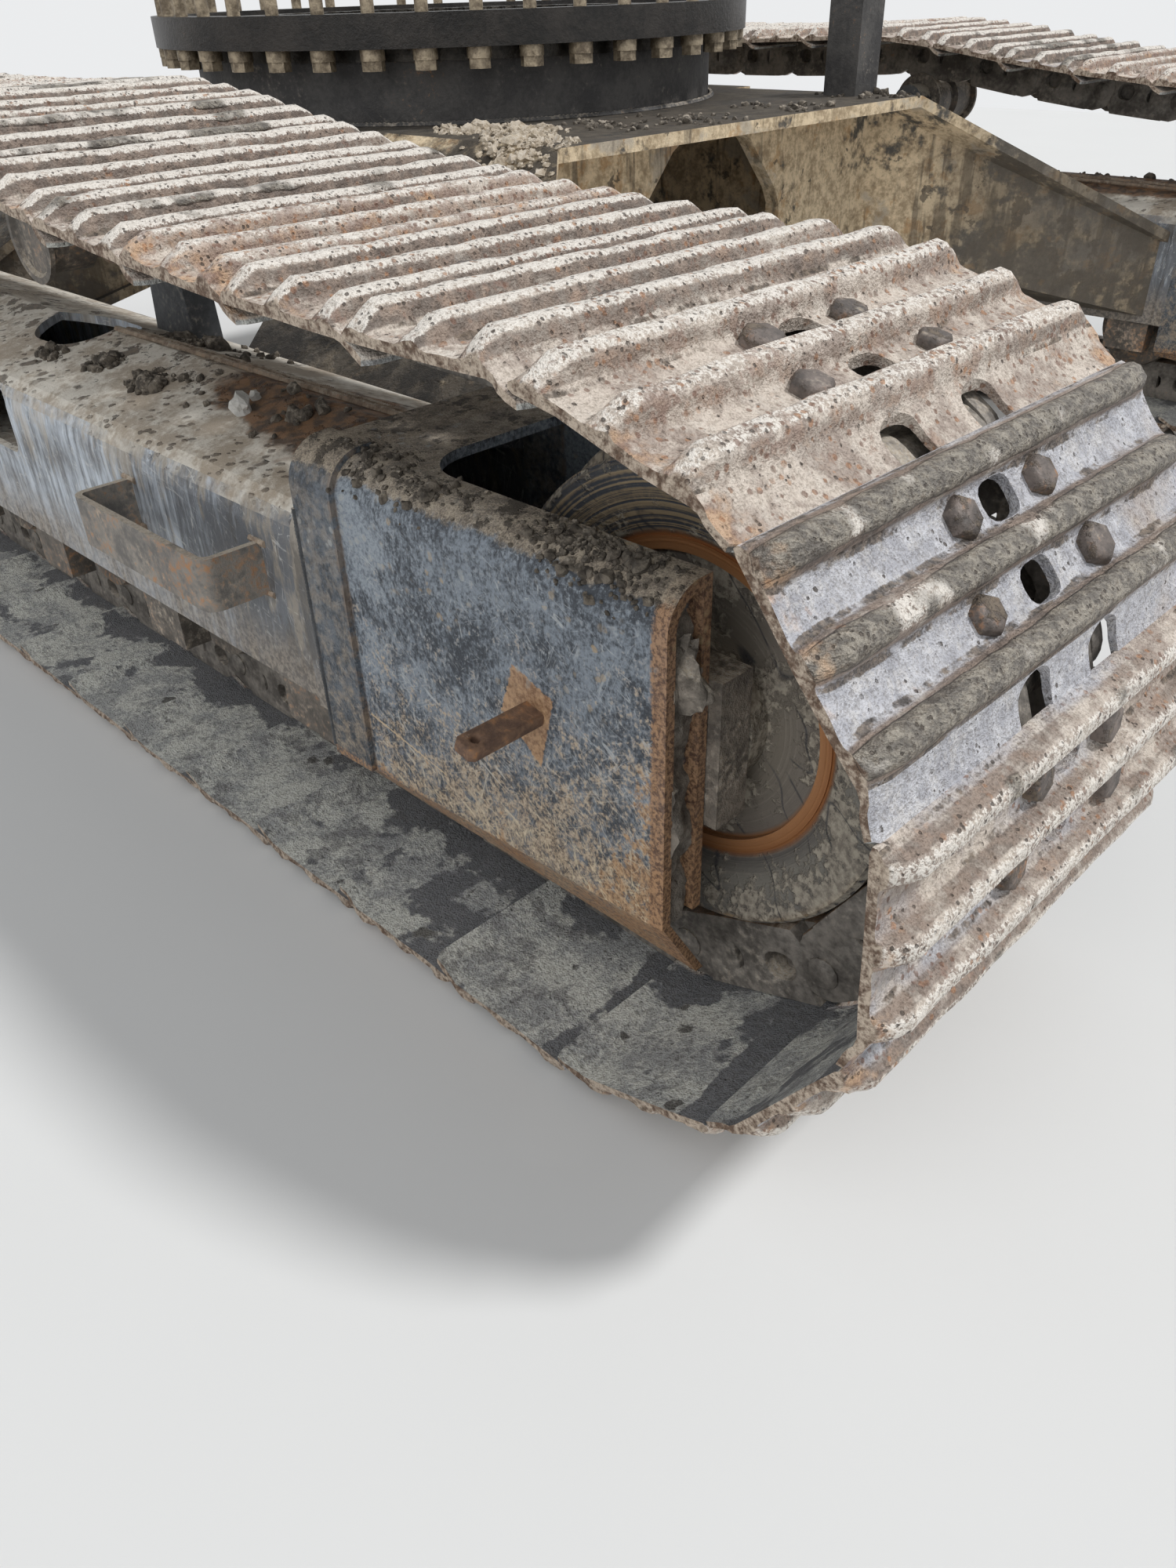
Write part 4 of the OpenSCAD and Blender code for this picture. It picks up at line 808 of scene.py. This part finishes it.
# Finishes: two hues, the amounts of mud, rust, dark stain and dust on top, metal, roughness, blotch size, bump depth
soiled = {
    "linkSteel": ((0.085, 0.075, 0.065), (0.26, 0.235, 0.205), 0.50, 0.26, 0.30, 0.3, 0.15, 0.6, 0.05),
    "railSteel": ((0.17, 0.12, 0.085), (0.34, 0.255, 0.185), 0.30, 0.40, 0.2, 0.3, 0.4, 0.4, 0.04),
    "rollerSteel": ((0.085, 0.074, 0.062), (0.21, 0.18, 0.15), 0.58, 0.45, 0.30, 0.6, 0.2, 0.55, 0.06),
    "sprocketSteel": ((0.14, 0.12, 0.10), (0.28, 0.26, 0.24), 0.45, 0.5, 0.35, 0.4, 0.35, 0.5, 0.06),
    "drivePaint": ((0.045, 0.048, 0.052), (0.10, 0.105, 0.11), 0.55, 0.3, 0.35, 0.6, 0.15, 0.55, 0.12),
    "yokeMud": ((0.11, 0.095, 0.08), (0.26, 0.225, 0.185), 0.62, 0.15, 0.35, 0.4, 0.0, 0.85, 0.05, 0.005),
    "nutSteel": ((0.10, 0.085, 0.07), (0.22, 0.19, 0.16), 0.45, 0.5, 0.3, 0.4, 0.3, 0.55, 0.02),
    "boltHeadSteel": ((0.075, 0.064, 0.058), (0.20, 0.165, 0.145), 0.22, 0.36, 0.60, 0.4, 0.2, 0.6, 0.03),
    "rustySteel": ((0.11, 0.065, 0.045), (0.24, 0.14, 0.085), 0.30, 0.45, 0.25, 0.2, 0.1, 0.8, 0.03),
    "stepSteel": ((0.15, 0.14, 0.13), (0.33, 0.30, 0.26), 0.50, 0.46, 0.25, 0.5, 0.15, 0.7, 0.05),
    "ringDark": ((0.010, 0.009, 0.008), (0.035, 0.030, 0.026), 0.12, 0.12, 0.15, 0.3, 0.3, 0.42, 0.12),
    "ringBoltZinc": ((0.16, 0.125, 0.085), (0.46, 0.38, 0.27), 0.42, 0.2, 0.3, 0.4, 0.4, 0.5, 0.025),
    "pedestalPaint": ((0.042, 0.040, 0.040), (0.095, 0.090, 0.085), 0.44, 0.25, 0.15, 0.5, 0.1, 0.6, 0.10),
    "gearGrease": ((0.020, 0.018, 0.015), (0.075, 0.066, 0.055), 0.15, 0.15, 0.35, 0.2, 0.5, 0.35, 0.05),
    "packedMud": ((0.095, 0.082, 0.068), (0.25, 0.22, 0.185), 0.45, 0.1, 0.35, 0.3, 0.0, 0.92, 0.03, 0.004),
    "clodMud": ((0.055, 0.046, 0.037), (0.17, 0.145, 0.115), 0.40, 0.05, 0.30, 0.3, 0.0, 0.95, 0.02, 0.003),
    "dryMud": ((0.30, 0.245, 0.18), (0.58, 0.49, 0.37), 0.60, 0.05, 0.20, 0.4, 0.0, 0.95, 0.02, 0.003),
    "weldSteel": ((0.20, 0.145, 0.105), (0.40, 0.315, 0.235), 0.46, 0.40, 0.25, 0.4, 0.1, 0.8, 0.03),
    "paleStone": ((0.50, 0.49, 0.46), (0.68, 0.66, 0.62), 0.3, 0.0, 0.05, 0.2, 0.0, 0.8, 0.02)}
looks = {"bodyMud": makeBodyPaint(), "framePaint": makeFramePaint(), "guardPaint": makeGuardPaint(),
         "shoeSteel": makeShoeSteel(), "idlerSteel": makeIdlerSteel()}
for name, amounts in soiled.items():
    looks[name] = makeSoiled(name, *amounts)

cadLooks = {"track": "shoeSteel", "idler": "idlerSteel", "idler_yoke": "yokeMud", "sprocket": "sprocketSteel",
            "final_drive": "drivePaint", "track_frame": "framePaint", "idler_guard": "guardPaint",
            "track_rollers": "rollerSteel", "carrier_rollers": "rollerSteel", "carrier_brackets": "drivePaint",
            "step": "stepSteel", "stub_bar": "rustySteel", "deck": "bodyMud", "belly": "bodyMud",
            "carbody_webs": "bodyMud", "leg_front": "bodyMud", "leg_rear": "bodyMud", "pedestal": "pedestalPaint",
            "slew_inner_ring": "gearGrease", "slew_outer_ring": "ringDark", "slew_bolts": "ringBoltZinc",
            "swivel_body": "drivePaint", "swivel_rotor": "gearGrease", "deck_post": "pedestalPaint"}
for nodeName, thing in nodes.items():
    plain = nodeName.replace("_right", "").replace("_left", "")
    painted(thing, looks[cadLooks[plain]])
print("materials made and given to the solids")


# Track shoes
shoe = {"width": 0.600, "seat": 0.050, "plate": 0.0095, "rib": 0.0245, "ribs": (0.0254, 0.1016, 0.1778),
        "holeRow": (0.3125, 0.6875), "hole": (0.0189, 0.026), "holePower": 3.2, "boltSpan": (0.064, 0.093),
        "bolt": 0.0195, "boltRise": 0.013, "boltSunk": 0.004,
        "notch": {"at": 0.062, "half": 0.027, "start": 0.2125, "deep": 0.014, "end": 0.26}, "cut": (0.02, 0.12),
        "stops": (0, 0.003, 0.009, 0.017, 0.027, 0.045, 0.075, 0.105, 0.135, 0.165, 0.195, 0.225, 0.255, 0.285, 0.300),
        "bevel": 0.027, "bevelLeast": 0.30, "bevelPower": 0.7, "bevelIn": 0.25, "tail": 0.2, "tailLong": 0.038,
        "tailCut": 0.012, "tailBack": 0.6, "seeds": {-2: 0.55, -1: 0.45, 0: 0.30, 1: 0.86, 2: 0.50, 3: 0.55},
        "bump": [(0.0215, 0.0014), (0.0170, 0.0056), (0.0148, 0.0130), (0.0118, 0.0195), (0.0062, 0.0240)],
        "outerTail": [(0.1990, 0.0600), (0.2055, 0.0556), (0.2125, 0.0505), (0.2230, 0.0455), (0.2380, 0.0405)],
        "inner": [(0.2375, 0.0335), (0.2225, 0.0375), (0.2110, 0.0425), (0.2020, 0.0480), (0.1930, 0.0500),
                  (0.1500, 0.0500), (0.1016, 0.0500), (0.0540, 0.0500), (0.0120, 0.0500)]}
shoeTop = shoe["seat"] + shoe["plate"]


def shoeProfile():
    # Outer and inner line of a shoe along its link, in metres: u along, v out from the pins
    bump = [(-du, dv) for du, dv in shoe["bump"]] + shoe["bump"][::-1]
    outer = [(0.0055, shoe["seat"] + 0.002), (0.0050, shoeTop - 0.003)]
    for i, rib in enumerate(shoe["ribs"]):
        outer += [(rib + du, shoeTop + dv) for du, dv in bump if i or du >= -0.017]
        if i < 2:
            outer += [(rib + 0.029, shoeTop + 0.0003), (rib + 0.0381, shoeTop), (rib + 0.0472, shoeTop + 0.0003)]
    return outer[:-1] + shoe["outerTail"], shoe["inner"]


def makeShoe():
    outer, inner = shoeProfile()
    half, n = shoe["width"] / 2, len(outer + inner)
    spans = sorted({round(s * (half - d), 5) for d in shoe["stops"] for s in (-1, 1)})
    verts, rise, span, along = [], [], [], []
    for y in spans:
        edge = half - abs(y)
        for u, v in outer + inner:
            rise.append(max(0.0, v - shoeTop) / shoe["rib"] if (u, v) in outer else -1.0)
            span.append(y / half)
            along.append(u / run["pitch"])
            if v > shoeTop:        # worn ends of the ribs
                least = shoe["bevelLeast"]
                worn = min(1.0, least + (1 - least) * (edge / shoe["bevel"]) ** shoe["bevelPower"])
                v = shoeTop + (v - shoeTop) * worn
                u += (min(shoe["ribs"], key=lambda rib: abs(rib - u)) - u) * shoe["bevelIn"] * (1 - worn)
            elif u > shoe["tail"]:        # the tail's corners are cut back
                u -= max(0, shoe["tailCut"] - edge) * shoe["tailBack"] * (u - shoe["tail"]) / shoe["tailLong"]
            verts.append((u, y, v))
    last = (len(spans) - 1) * n
    faces = [(a + k, a + (k + 1) % n, a + n + (k + 1) % n, a + n + k) for a in range(0, last, n) for k in range(n)]
    faces += [tuple(range(n - 1, -1, -1)), tuple(range(last, last + n))]
    made = meshObject("shoeShape", verts, faces)
    addAttributes(made, rise=rise, span=span, along=along)
    closed(made, welds=False)
    # holes between the ribs and the notches of the tail
    cutters = [roundLoop(share * pitch, 0, *shoe["hole"], 16, shoe["holePower"]) for share in shoe["holeRow"]]
    cut = shoe["notch"]
    for s in (-1, 1):
        y, w = s * cut["at"], cut["half"]
        arcs = [(cut["start"] - cut["deep"] * sin(pi * k / 8), y + w * cos(pi * k / 8)) for k in range(1, 8)]
        cutters.append([(cut["end"], y - w), (cut["end"], y + w), (cut["start"], y + w), *arcs, (cut["start"], y - w)])
    bm = bmesh.new()
    for loop in cutters:
        low, high = ([bm.verts.new((u, y, z)) for u, y in loop] for z in shoe["cut"])
        bm.faces.new(low[::-1])
        bm.faces.new(high)
        for i in range(len(loop)):
            j = (i + 1) % len(loop)
            bm.faces.new((low[i], low[j], high[j], high[i]))
    cutter = closed(objectFrom("shoeCutter", bm), welds=False)
    modifier = made.modifiers.new("holes", "BOOLEAN")
    modifier.operation, modifier.solver, modifier.object = "DIFFERENCE", "EXACT", cutter
    result = evaluated(made, "shoeCut")
    drop(cutter)
    with editing(result) as bm:
        weldPoints(bm)
        bmesh.ops.triangulate(bm, faces=[f for f in bm.faces if len(f.verts) > 4])
    return result


def hexHead(name, across, high):
    # A hexagon head with its top edge worn round, few faces
    bm = bmesh.new()
    loops = [[bm.verts.new((across * share * cos(pi / 3 * k), across * share * sin(pi / 3 * k), z)) for k in range(6)]
             for share, z in [(1.0, -shoe["boltSunk"]), (1.02, high * 0.55), (0.86, high * 0.92), (0.55, high)]]
    for a, b in zip(loops, loops[1:]):
        for k in range(6):
            j = (k + 1) % 6
            bm.faces.new((a[k], a[j], b[j], b[k]))
    bm.faces.new(loops[-1])
    return objectFrom(name, bm)


wear = {"wave": 0.09, "chip": 0.022, "waveDeep": 0.0025, "chipDeep": 0.0030, "endDeep": 0.004, "waveAlong": 0.0003,
        "chipAlong": 0.0014, "top": (0.35, 0.5), "end": (0.93, 0.07), "side": 0.985, "ragged": (0.03, 0.0035)}


def wearShoes(track):
    # Each shoe is worn its own way: the ribs' tops are lower here and there, the ends ragged
    co = pointsOf(track)
    rise, span = (numbers(track.data.attributes[n].data, "value") for n in ("rise", "span"))
    near = nearestLink(co)
    out, along = (np.insert(line[near], 1, 0, axis=1) for line in (normals, ahead))
    wave = rough(co, wear["wave"], 1.0, 1)
    chip = rough(co, wear["chip"], 1.0, 2, 2)
    top, end = (np.clip((x - start) / over, 0, 1)
                for x, (start, over) in ((rise, wear["top"]), (np.abs(span), wear["end"])))
    lower = top * (np.clip(wave, 0, 1) * wear["waveDeep"] + np.clip(chip, 0, 1) * wear["chipDeep"])
    lower += end * top * np.clip(wave + chip + 0.5, 0, 1) * wear["endDeep"]
    co -= out * lower[:, None]
    co += along * (chip * wear["chipAlong"] * top + wave * wear["waveAlong"])[:, None]
    co[:, 1] -= np.where(np.abs(span) > wear["side"], np.sign(span) * rough(co, *wear["ragged"], 4, 2), 0)
    putPoints(track, co)


shoeShape = makeShoe()
headShape = hexHead("shoeBoltShape", shoe["bolt"], shoe["boltRise"])
for side in sides:
    middle = sideSign[side] * halfGauge
    track = onEachLink("shoes_" + side, shoeShape, middle, looks["shoeSteel"])
    wearShoes(track)
    finished(track, standsFor="track_" + side)
    places, headTurns = [], []
    for k in range(linkCount):
        for share, reach in zip(shoe["holeRow"], shoe["boltSpan"]):
            x, z = pins[k] + ahead[k] * (share * pitch) + normals[k] * shoeTop
            places += [(x, middle - reach, z), (x, middle + reach, z)]
            headTurns += [(0, turnY[k], 0)] * 2
    bolts = repeated("shoe_bolts_" + side, headShape, places, headTurns, looks["boltHeadSteel"],
                     grows=0.9 + 0.2 * rng.random(len(places)))
    finished(bolts, 50, "track_" + side)
drop(shoeShape)
drop(headShape)
print("track shoes and their bolts")


# Chain links
chain = {"inner": 0.046, "wide": 0.046, "rail": -0.046, "seat": 0.050, "boss": 0.038, "pin": 0.0195, "pinFace": 0.0505,
         "bush": 0.029, "window": (0.021, 0.0175), "windowUp": 0.006, "eye": 0.022, "eyeAt": (0.0115, 0.0345),
         "bevel": 0.003, "nut": (0.0175, 0.020)}


def strapLoop(u, direction):
    # One end of a link: the eye round a pin, flaring into the body
    r = chain["boss"]
    loop = [(u - direction * r * cos(a), r * sin(a)) for a in [radians(d) for d in range(-75, 80, 15)]]
    return loop + [(u + direction * du, v) for du, v in (
        (0.030, chain["seat"] - 0.001), (0.075, chain["seat"] - 0.002), (0.075, chain["rail"] + 0.002),
        (0.012, chain["rail"] + 0.001))]


def makeLink():
    parts = []
    rail, seat, pin = chain["rail"], chain["seat"], chain["pin"]
    body = [(0.034, rail), (0.060, rail - 0.0003), (0.143, rail - 0.0003), (0.169, rail), (0.182, rail + 0.020),
            (0.172, 0.004), (0.176, 0.034), (0.182, seat), (0.021, seat), (0.027, 0.034), (0.031, 0.004),
            (0.021, rail + 0.020)]
    windows = [roundLoop(share * pitch, chain["windowUp"], *chain["window"], 12, 2.6) for share in shoe["holeRow"]]
    upright = Matrix.Rotation(pi / 2, 4, "X")
    for s in (-1, 1):
        y = chain["inner"] + chain["wide"] / 2
        straps = [("linkBody", [body] + windows, chain["wide"], y)]
        for u, direction, at in zip((0, pitch), (1, -1), chain["eyeAt"]):
            straps.append(("linkEye", [strapLoop(u, direction)], chain["eye"], chain["inner"] + at))
        for name, loops, thick, at in straps:
            parts.append(moved(plate(name, loops, thick, chain["bevel"]), Matrix.Translation((0, s * at, 0)) @ upright))
        pinEnd = [(0, 0.0), (pin * 0.8, 0.0), (pin, -s * 0.003), (pin, -s * 0.02)]
        parts.append(lathe("linkPin", pinEnd, (pitch, s * (chain["inner"] + chain["pinFace"]), 0), 12))
        for share in shoe["holeRow"]:
            lies = Matrix.Translation((share * pitch, s * y, seat - 0.004)) @ Matrix.Rotation(pi, 4, "X")
            parts.append(moved(hexHead("linkNut", *chain["nut"]), lies))
    parts.append(lathe("linkBush", [(chain["bush"], -0.047), (chain["bush"], 0.047)], (0, 0, 0), 16))
    return joined("linkShape", parts)


linkShape = makeLink()
for side in sides:
    links = painted(onEachLink("chain_links_" + side, linkShape, sideSign[side] * halfGauge, looks["linkSteel"]),
                    looks["linkSteel"], looks["railSteel"])
    # the rail's running face is rubbed brown
    facing, centres = (numbers(links.data.polygons, what, 3)[:, ::2] for what in ("normal", "center"))
    near = nearestLink(np.insert(centres, 1, 0, axis=1))
    inward = -(facing * normals[near]).sum(1)
    depth = ((centres - pins[near]) * normals[near]).sum(1)
    rubbed = (inward > 0.8) & (depth < -0.04)
    links.data.polygons.foreach_set("material_index", rubbed.astype(np.int32))
    finished(links, standsFor="track_" + side)
drop(linkShape)
print("chain links")


# What lies, sticks or is welded on: clods, packed mud, gravel, beads and bolts
soil = {"frameTop": [(0.714, 0.080, 0.032, 60), (0.883, 0.086, 0.036, 90), (0.565, 0.105, 0.028, 40),
                     (0.699, -0.069, 0.045, 70), (1.00, 0.020, 0.10, 14), (1.22, 0.05, 0.08, 16),
                     (0.80, -0.10, 0.10, 30)],
        "guardTop": [(1.905, 0.186, 0.050, 190), (1.985, 0.185, 0.040, 120), (1.59, 0.180, 0.050, 70),
                     (1.70, 0.188, 0.06, 70)],
        "slot": [(1.640, -0.020, 0.075, 70), (1.610, 0.070, 0.050, 40)],
        "deckHeap": [(0.62, 0.470, 0.085, 150), (0.72, 0.440, 0.08, 120), (0.84, 0.560, 0.10, 150),
                     (0.93, 0.640, 0.08, 110), (1.00, 0.730, 0.06, 60)],
        "deckEdge": [(0.86, -0.55, 0.10, 40), (0.88, -0.2, 0.10, 40), (0.86, 0.1, 0.12, 50), (0.80, 0.3, 0.10, 40)],
        "clod": 0.0085, "gravel": 0.0075, "deck": ["deck", "leg_front_right"],
        "stones": ((1.135, -1.386, 0.016), (1.118, -1.352, 0.008))}
strewn = {"inward": 0.8, "least": 0.35, "more": 0.5, "heavy": 3.0, "rare": 9, "small": 0.6, "long": 1.3, "lift": 0.22,
          "tilt": 0.6}
clod = {"waves": (1.3, 3.1, 8), "shares": (1, 0.6, 0.25), "wide": (1.15, 0.9)}
pack = {"x": (1.93, 2.042), "y": (0.1605, 0.1995), "z": (0.214, 0.578), "cell": 0.0075, "depth": 0.020, "big": 0.075,
        "small": 0.018, "smallOut": 0.35, "smallUp": 0.3, "chunk": (2.022, 0.180, 0.505),
        "chunkHalf": (0.036, 0.020, 0.050, 1)}
weld = {"ridges": (0.010, 0.030), "ridgeX": (0.60, 1.42), "ridgeFrom": 0.708, "ridgeSlope": 0.048, "ridge": 0.0058,
        "ripple": 0.0045, "thick": 0.85, "swell": 0.22, "uneven": (0.25, 60), "foot": 0.005, "footHalf": 0.018,
        "seamX": 1.474, "seamZ": (0.20, 0.53), "seam": 0.0030, "ring": (0.640, 0.791), "ringBead": 0.007,
        "ringRipple": 0.010}
driveBolts = {"sprocket_": (20, 0.232), "final_drive_": (16, 0.168)}     # how many, and their circle's radius
driveBoltSize = (0.0135, 0.011)


def struckAt(name, start, way):
    # Where a line from start meets this solid, or nothing
    struck, place = nodes[name].ray_cast(Vector(start), Vector(way))[:2]
    return place if struck else None


def landOn(names, x, y):
    # The highest place on these solids over x and y, or nothing
    places = [p for p in (struckAt(name, (x, y, 3), (0, 0, -1)) for name in names) if p]
    return max(places, key=lambda p: p.z) if places else None


def landFromSide(name, x, z, sign):
    place = struckAt(name, (x, sign * 3, z), (0, -sign, 0))
    return place.y if place else None


def makeClod(name, flat, seed, depth=0.30, fineness=2, material=None):
    bm = bmesh.new()
    bmesh.ops.create_icosphere(bm, subdivisions=fineness, radius=1)
    for vert in bm.verts:
        co, lumpy = vert.co.copy(), 1
        for axis in range(min(fineness, 3)):
            shift = Vector((0, 0, 0))
            shift[axis] = seed
            lumpy += depth * clod["shares"][axis] * noise.noise(co * clod["waves"][axis] + shift)
        vert.co = [c * lumpy * wide for c, wide in zip(co, (*clod["wide"], flat))]
    return objectFrom(name, bm, *([material] if material else []))


def scattered(name, spots, names, shape, material, size, middle=0.0, sign=1):
    # Lumps thrown round each spot, most of them small, let into what carries them
    places, turns, grows = [], [], []
    for x, across, reach, count in spots:
        for i in range(count):
            a, r = rng.random() * 2 * pi, reach * rng.random() ** strewn["inward"]
            grow = strewn["least"] + strewn["more"] * rng.random()
            grow += (strewn["heavy"] - 1) * rng.random() ** strewn["rare"] * (1 - r / reach * strewn["small"])
            px, py = x + r * cos(a) * strewn["long"], middle + sign * (across + r * sin(a))
            spot = landOn(names, px, py)
            if spot:
                places.append((px, py, spot.z + size * grow * strewn["lift"]))
                turns.append((rng.random() * strewn["tilt"], rng.random() * strewn["tilt"], rng.random() * 6.28))
                grows.append(grow)
    finished(repeated(name, shape, places, turns, material, size, grows=grows))


def lumpyBlock(name, low, high, seed, material):
    # A block of packed mud: a closed grid whose skin is pushed about
    counts = [max(2, round((b - a) / pack["cell"])) for a, b in zip(low, high)]
    steps = [np.linspace(a, b, n + 1) for a, b, n in zip(low, high, counts)]
    verts, faces = [], []
    for axis in range(3):
        i, j = (axis + 1) % 3, (axis + 2) % 3
        for end in (0, -1):
            start, wide = len(verts), len(steps[j])
            for a in steps[i]:
                for b in steps[j]:
                    point = [0, 0, 0]
                    point[axis], point[i], point[j] = steps[axis][end], a, b
                    verts.append(point)
            corners = [start + m * wide + n for m in range(len(steps[i]) - 1) for n in range(wide - 1)]
            faces += [(q, q + wide, q + wide + 1, q + 1) for q in corners]
    made = closed(meshObject(name, verts, faces, material))
    co = pointsOf(made)
    big, small = rough(co, pack["big"], pack["depth"], seed), rough(co, pack["small"], pack["depth"], seed + 3, 2)
    co[:, 0] += (co[:, 0] - low[0]) / (high[0] - low[0]) * (big + small * pack["smallOut"])
    co[:, 2] += small * pack["smallUp"]
    putPoints(made, co)
    return made


def weldBead(name, path, radius, material, ripple=weld["ripple"]):
    # A seam of weld along a path: a bar that swells at every ripple
    gone = np.r_[0, np.cumsum([(Vector(b) - Vector(a)).length for a, b in zip(path, path[1:])])]
    count = max(4, int(gone[-1] / ripple * 2))
    at = np.linspace(0, gone[-1], count)
    points = np.column_stack([np.interp(at, gone, [p[i] for p in path]) for i in range(3)])
    uneven, often = weld["uneven"]
    radii = [weld["thick"] + weld["swell"] * (k % 2) + uneven * noise.noise(Vector(p) * often)
             for k, p in enumerate(points)]
    return fromCurve(name, [points], False, [material], radii, dimensions="3D", bevel_depth=radius, bevel_resolution=1,
                     use_fill_caps=True)


bpy.context.view_layer.update()
clodShape = makeClod("clodShape", 0.75, 3)
stoneShape = makeClod("stoneShape", 0.8, 11, 0.5)
for side in sides:
    sign, middle = sideSign[side], sideSign[side] * halfGauge
    frameTop, guardNode = "track_frame_" + side, "idler_guard_" + side
    for name, spots, node, share in (("frame", "frameTop", frameTop, 1), ("guard", "guardTop", guardNode, 0.52),
                                     ("slot", "slot", "idler_yoke_" + side, 1.4)):
        scattered(name + "_clods_" + side, soil[spots], [node], clodShape, looks["clodMud"],
                  soil["clod"] * share, middle, sign)
    packs = []
    for turned in (1, -1):
        y = sorted(middle + sign * turned * y for y in pack["y"])
        low, high = zip(pack["x"], y, pack["z"])
        packs.append(lumpyBlock("pack", low, high, sign + turned * 4, looks["packedMud"]))
        chunk = makeClod("chunk", 1.0, 2.2 + sign + turned, 0.75, 4, looks["packedMud"])
        x, across, z = pack["chunk"]
        lies = Matrix.Translation((x, middle + sign * turned * across, z)) @ Matrix.Diagonal(pack["chunkHalf"])
        packs.append(moved(chunk, lies))
    finished(joined("packed_mud_" + side, packs), 60)
    # seams of weld: double ridge on the frame, both sides of the band, the step's feet
    beads = []
    for off in weld["ridges"]:
        slope = weld["ridgeSlope"]
        line = [(x, middle - sign * (off + (x - weld["ridgeFrom"]) * slope)) for x in np.linspace(*weld["ridgeX"], 40)]
        line = [(x, y, landOn([frameTop], x, y).z + 0.002) for x, y in line]
        beads.append(weldBead("ridge", line, weld["ridge"], looks["weldSteel"]))
    low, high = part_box("step_" + side)
    for x in (low[0] + 0.006, high[0] - 0.006):
        for z in (low[2], high[2]):
            y = landFromSide(frameTop, x, z, sign)
            if y is not None:
                ends = [(x - weld["footHalf"], y, z), (x + weld["footHalf"], y, z)]
                beads.append(weldBead("foot", ends, weld["foot"], looks["weldSteel"]))
    x = weld["seamX"]
    seam = [(x, landFromSide(guardNode, x + 0.006, z, sign), z) for z in np.linspace(*weld["seamZ"], 30)]
    beads.append(weldBead("seam", seam, weld["seam"], looks["drivePaint"]))
    finished(joined("weld_beads_" + side, beads), 50)
    # bolts of the sprocket and of its drive's cover
    places = []
    for name, (count, r) in driveBolts.items():
        for a in np.arange(count) * 2 * pi / count:
            x, z = sprocketPlace[0] + r * cos(a), sprocketPlace[1] + r * sin(a)
            y = landFromSide(name + side, x, z, sign)
            if y is not None:
                places.append((x, y, z))
    boltShape = hexHead("driveBoltShape", *driveBoltSize)
    turns = [(-sign * pi / 2, 0, 0)] * len(places)
    finished(repeated("drive_bolts_" + side, boltShape, places, turns, looks["nutSteel"]), 50)
    drop(boltShape)
scattered("deck_gravel", soil["deckHeap"], soil["deck"], stoneShape, looks["dryMud"], soil["gravel"],
          sign=-1)
scattered("deck_clods", soil["deckEdge"], soil["deck"], clodShape, looks["clodMud"], soil["clod"],
          sign=-1)
radius, up = weld["ring"]
ring = [(radius * cos(a), radius * sin(a), up) for a in np.linspace(0, 2 * pi, 121)]
bead = weldBead("pedestal_weld", ring, weld["ringBead"], looks["pedestalPaint"], weld["ringRipple"])
finished(bead, 50)
stones = []
for x, y, size in soil["stones"]:
    lies = Matrix.Translation((x, y, landOn(["track_frame_right"], x, y).z + size * 0.6))
    stone = makeClod("stone", 0.85, 5 + size * 100, 0.55, material=looks["paleStone"])
    stones.append(moved(stone, lies @ Matrix.Rotation(0.7, 4, "Y") @ Matrix.Scale(size, 4)))
finished(joined("pale_stones", stones), 15)
drop(clodShape)
drop(stoneShape)
print("clods, packed mud, gravel, beads and bolts")


# The short flat that stands out beside each idler
stub = {"x": 1.872, "y": 1.520, "z": 0.408, "wide": 0.030, "thick": 0.017, "long": 0.098, "low": -0.006,
        "corner": 0.005, "hole": 0.0048, "holeAt": 0.081, "bevel": 0.004, "tilt": 14}
for side in sides:
    sign, half, long = sideSign[side], stub["wide"] / 2, stub["long"]
    outline = [(-half, stub["low"]), (half, stub["low"]), (half, long - 0.006), (half - stub["corner"], long),
               (-half + stub["corner"], long), (-half, long - 0.006)]
    hole = roundLoop(0, stub["holeAt"], stub["hole"], stub["hole"], 14)
    flat = plate("stub_flat_" + side, [outline, hole], stub["thick"], stub["bevel"], looks["rustySteel"], rounds=2)
    turn = Matrix.Rotation(radians(stub["tilt"]), 4, "Y") @ Matrix.Scale(sign, 4, (0, 1, 0))
    moved(flat, Matrix.Translation((stub["x"], sign * stub["y"], stub["z"])) @ turn)
    co = pointsOf(flat)
    worn = co.copy()
    for axis, seed in ((0, 3), (2, 8)):
        worn[:, axis] += rough(co, 0.02, 0.0010, seed)
    putPoints(flat, worn)
    finished(flat, 45, "stub_bar_" + side)
print("stub flats")


# Floor
reach = light["floorHalf"]
floorLook = Look("floor")
floorLook.colour = floorLook.mix(floorLook.noise(0.6, 3).rise(0.2, 0.8), tuple(c * 0.985 for c in light["floor"]),
                                 light["floor"])
floor = meshObject("floor", [(-reach, -reach, 0), (reach, -reach, 0), (reach, reach, 0), (-reach, reach, 0)],
                   [(0, 1, 2, 3)], floorLook.finish(0.9))
moved(floor, Matrix.Translation((0, 0, -0.001)))
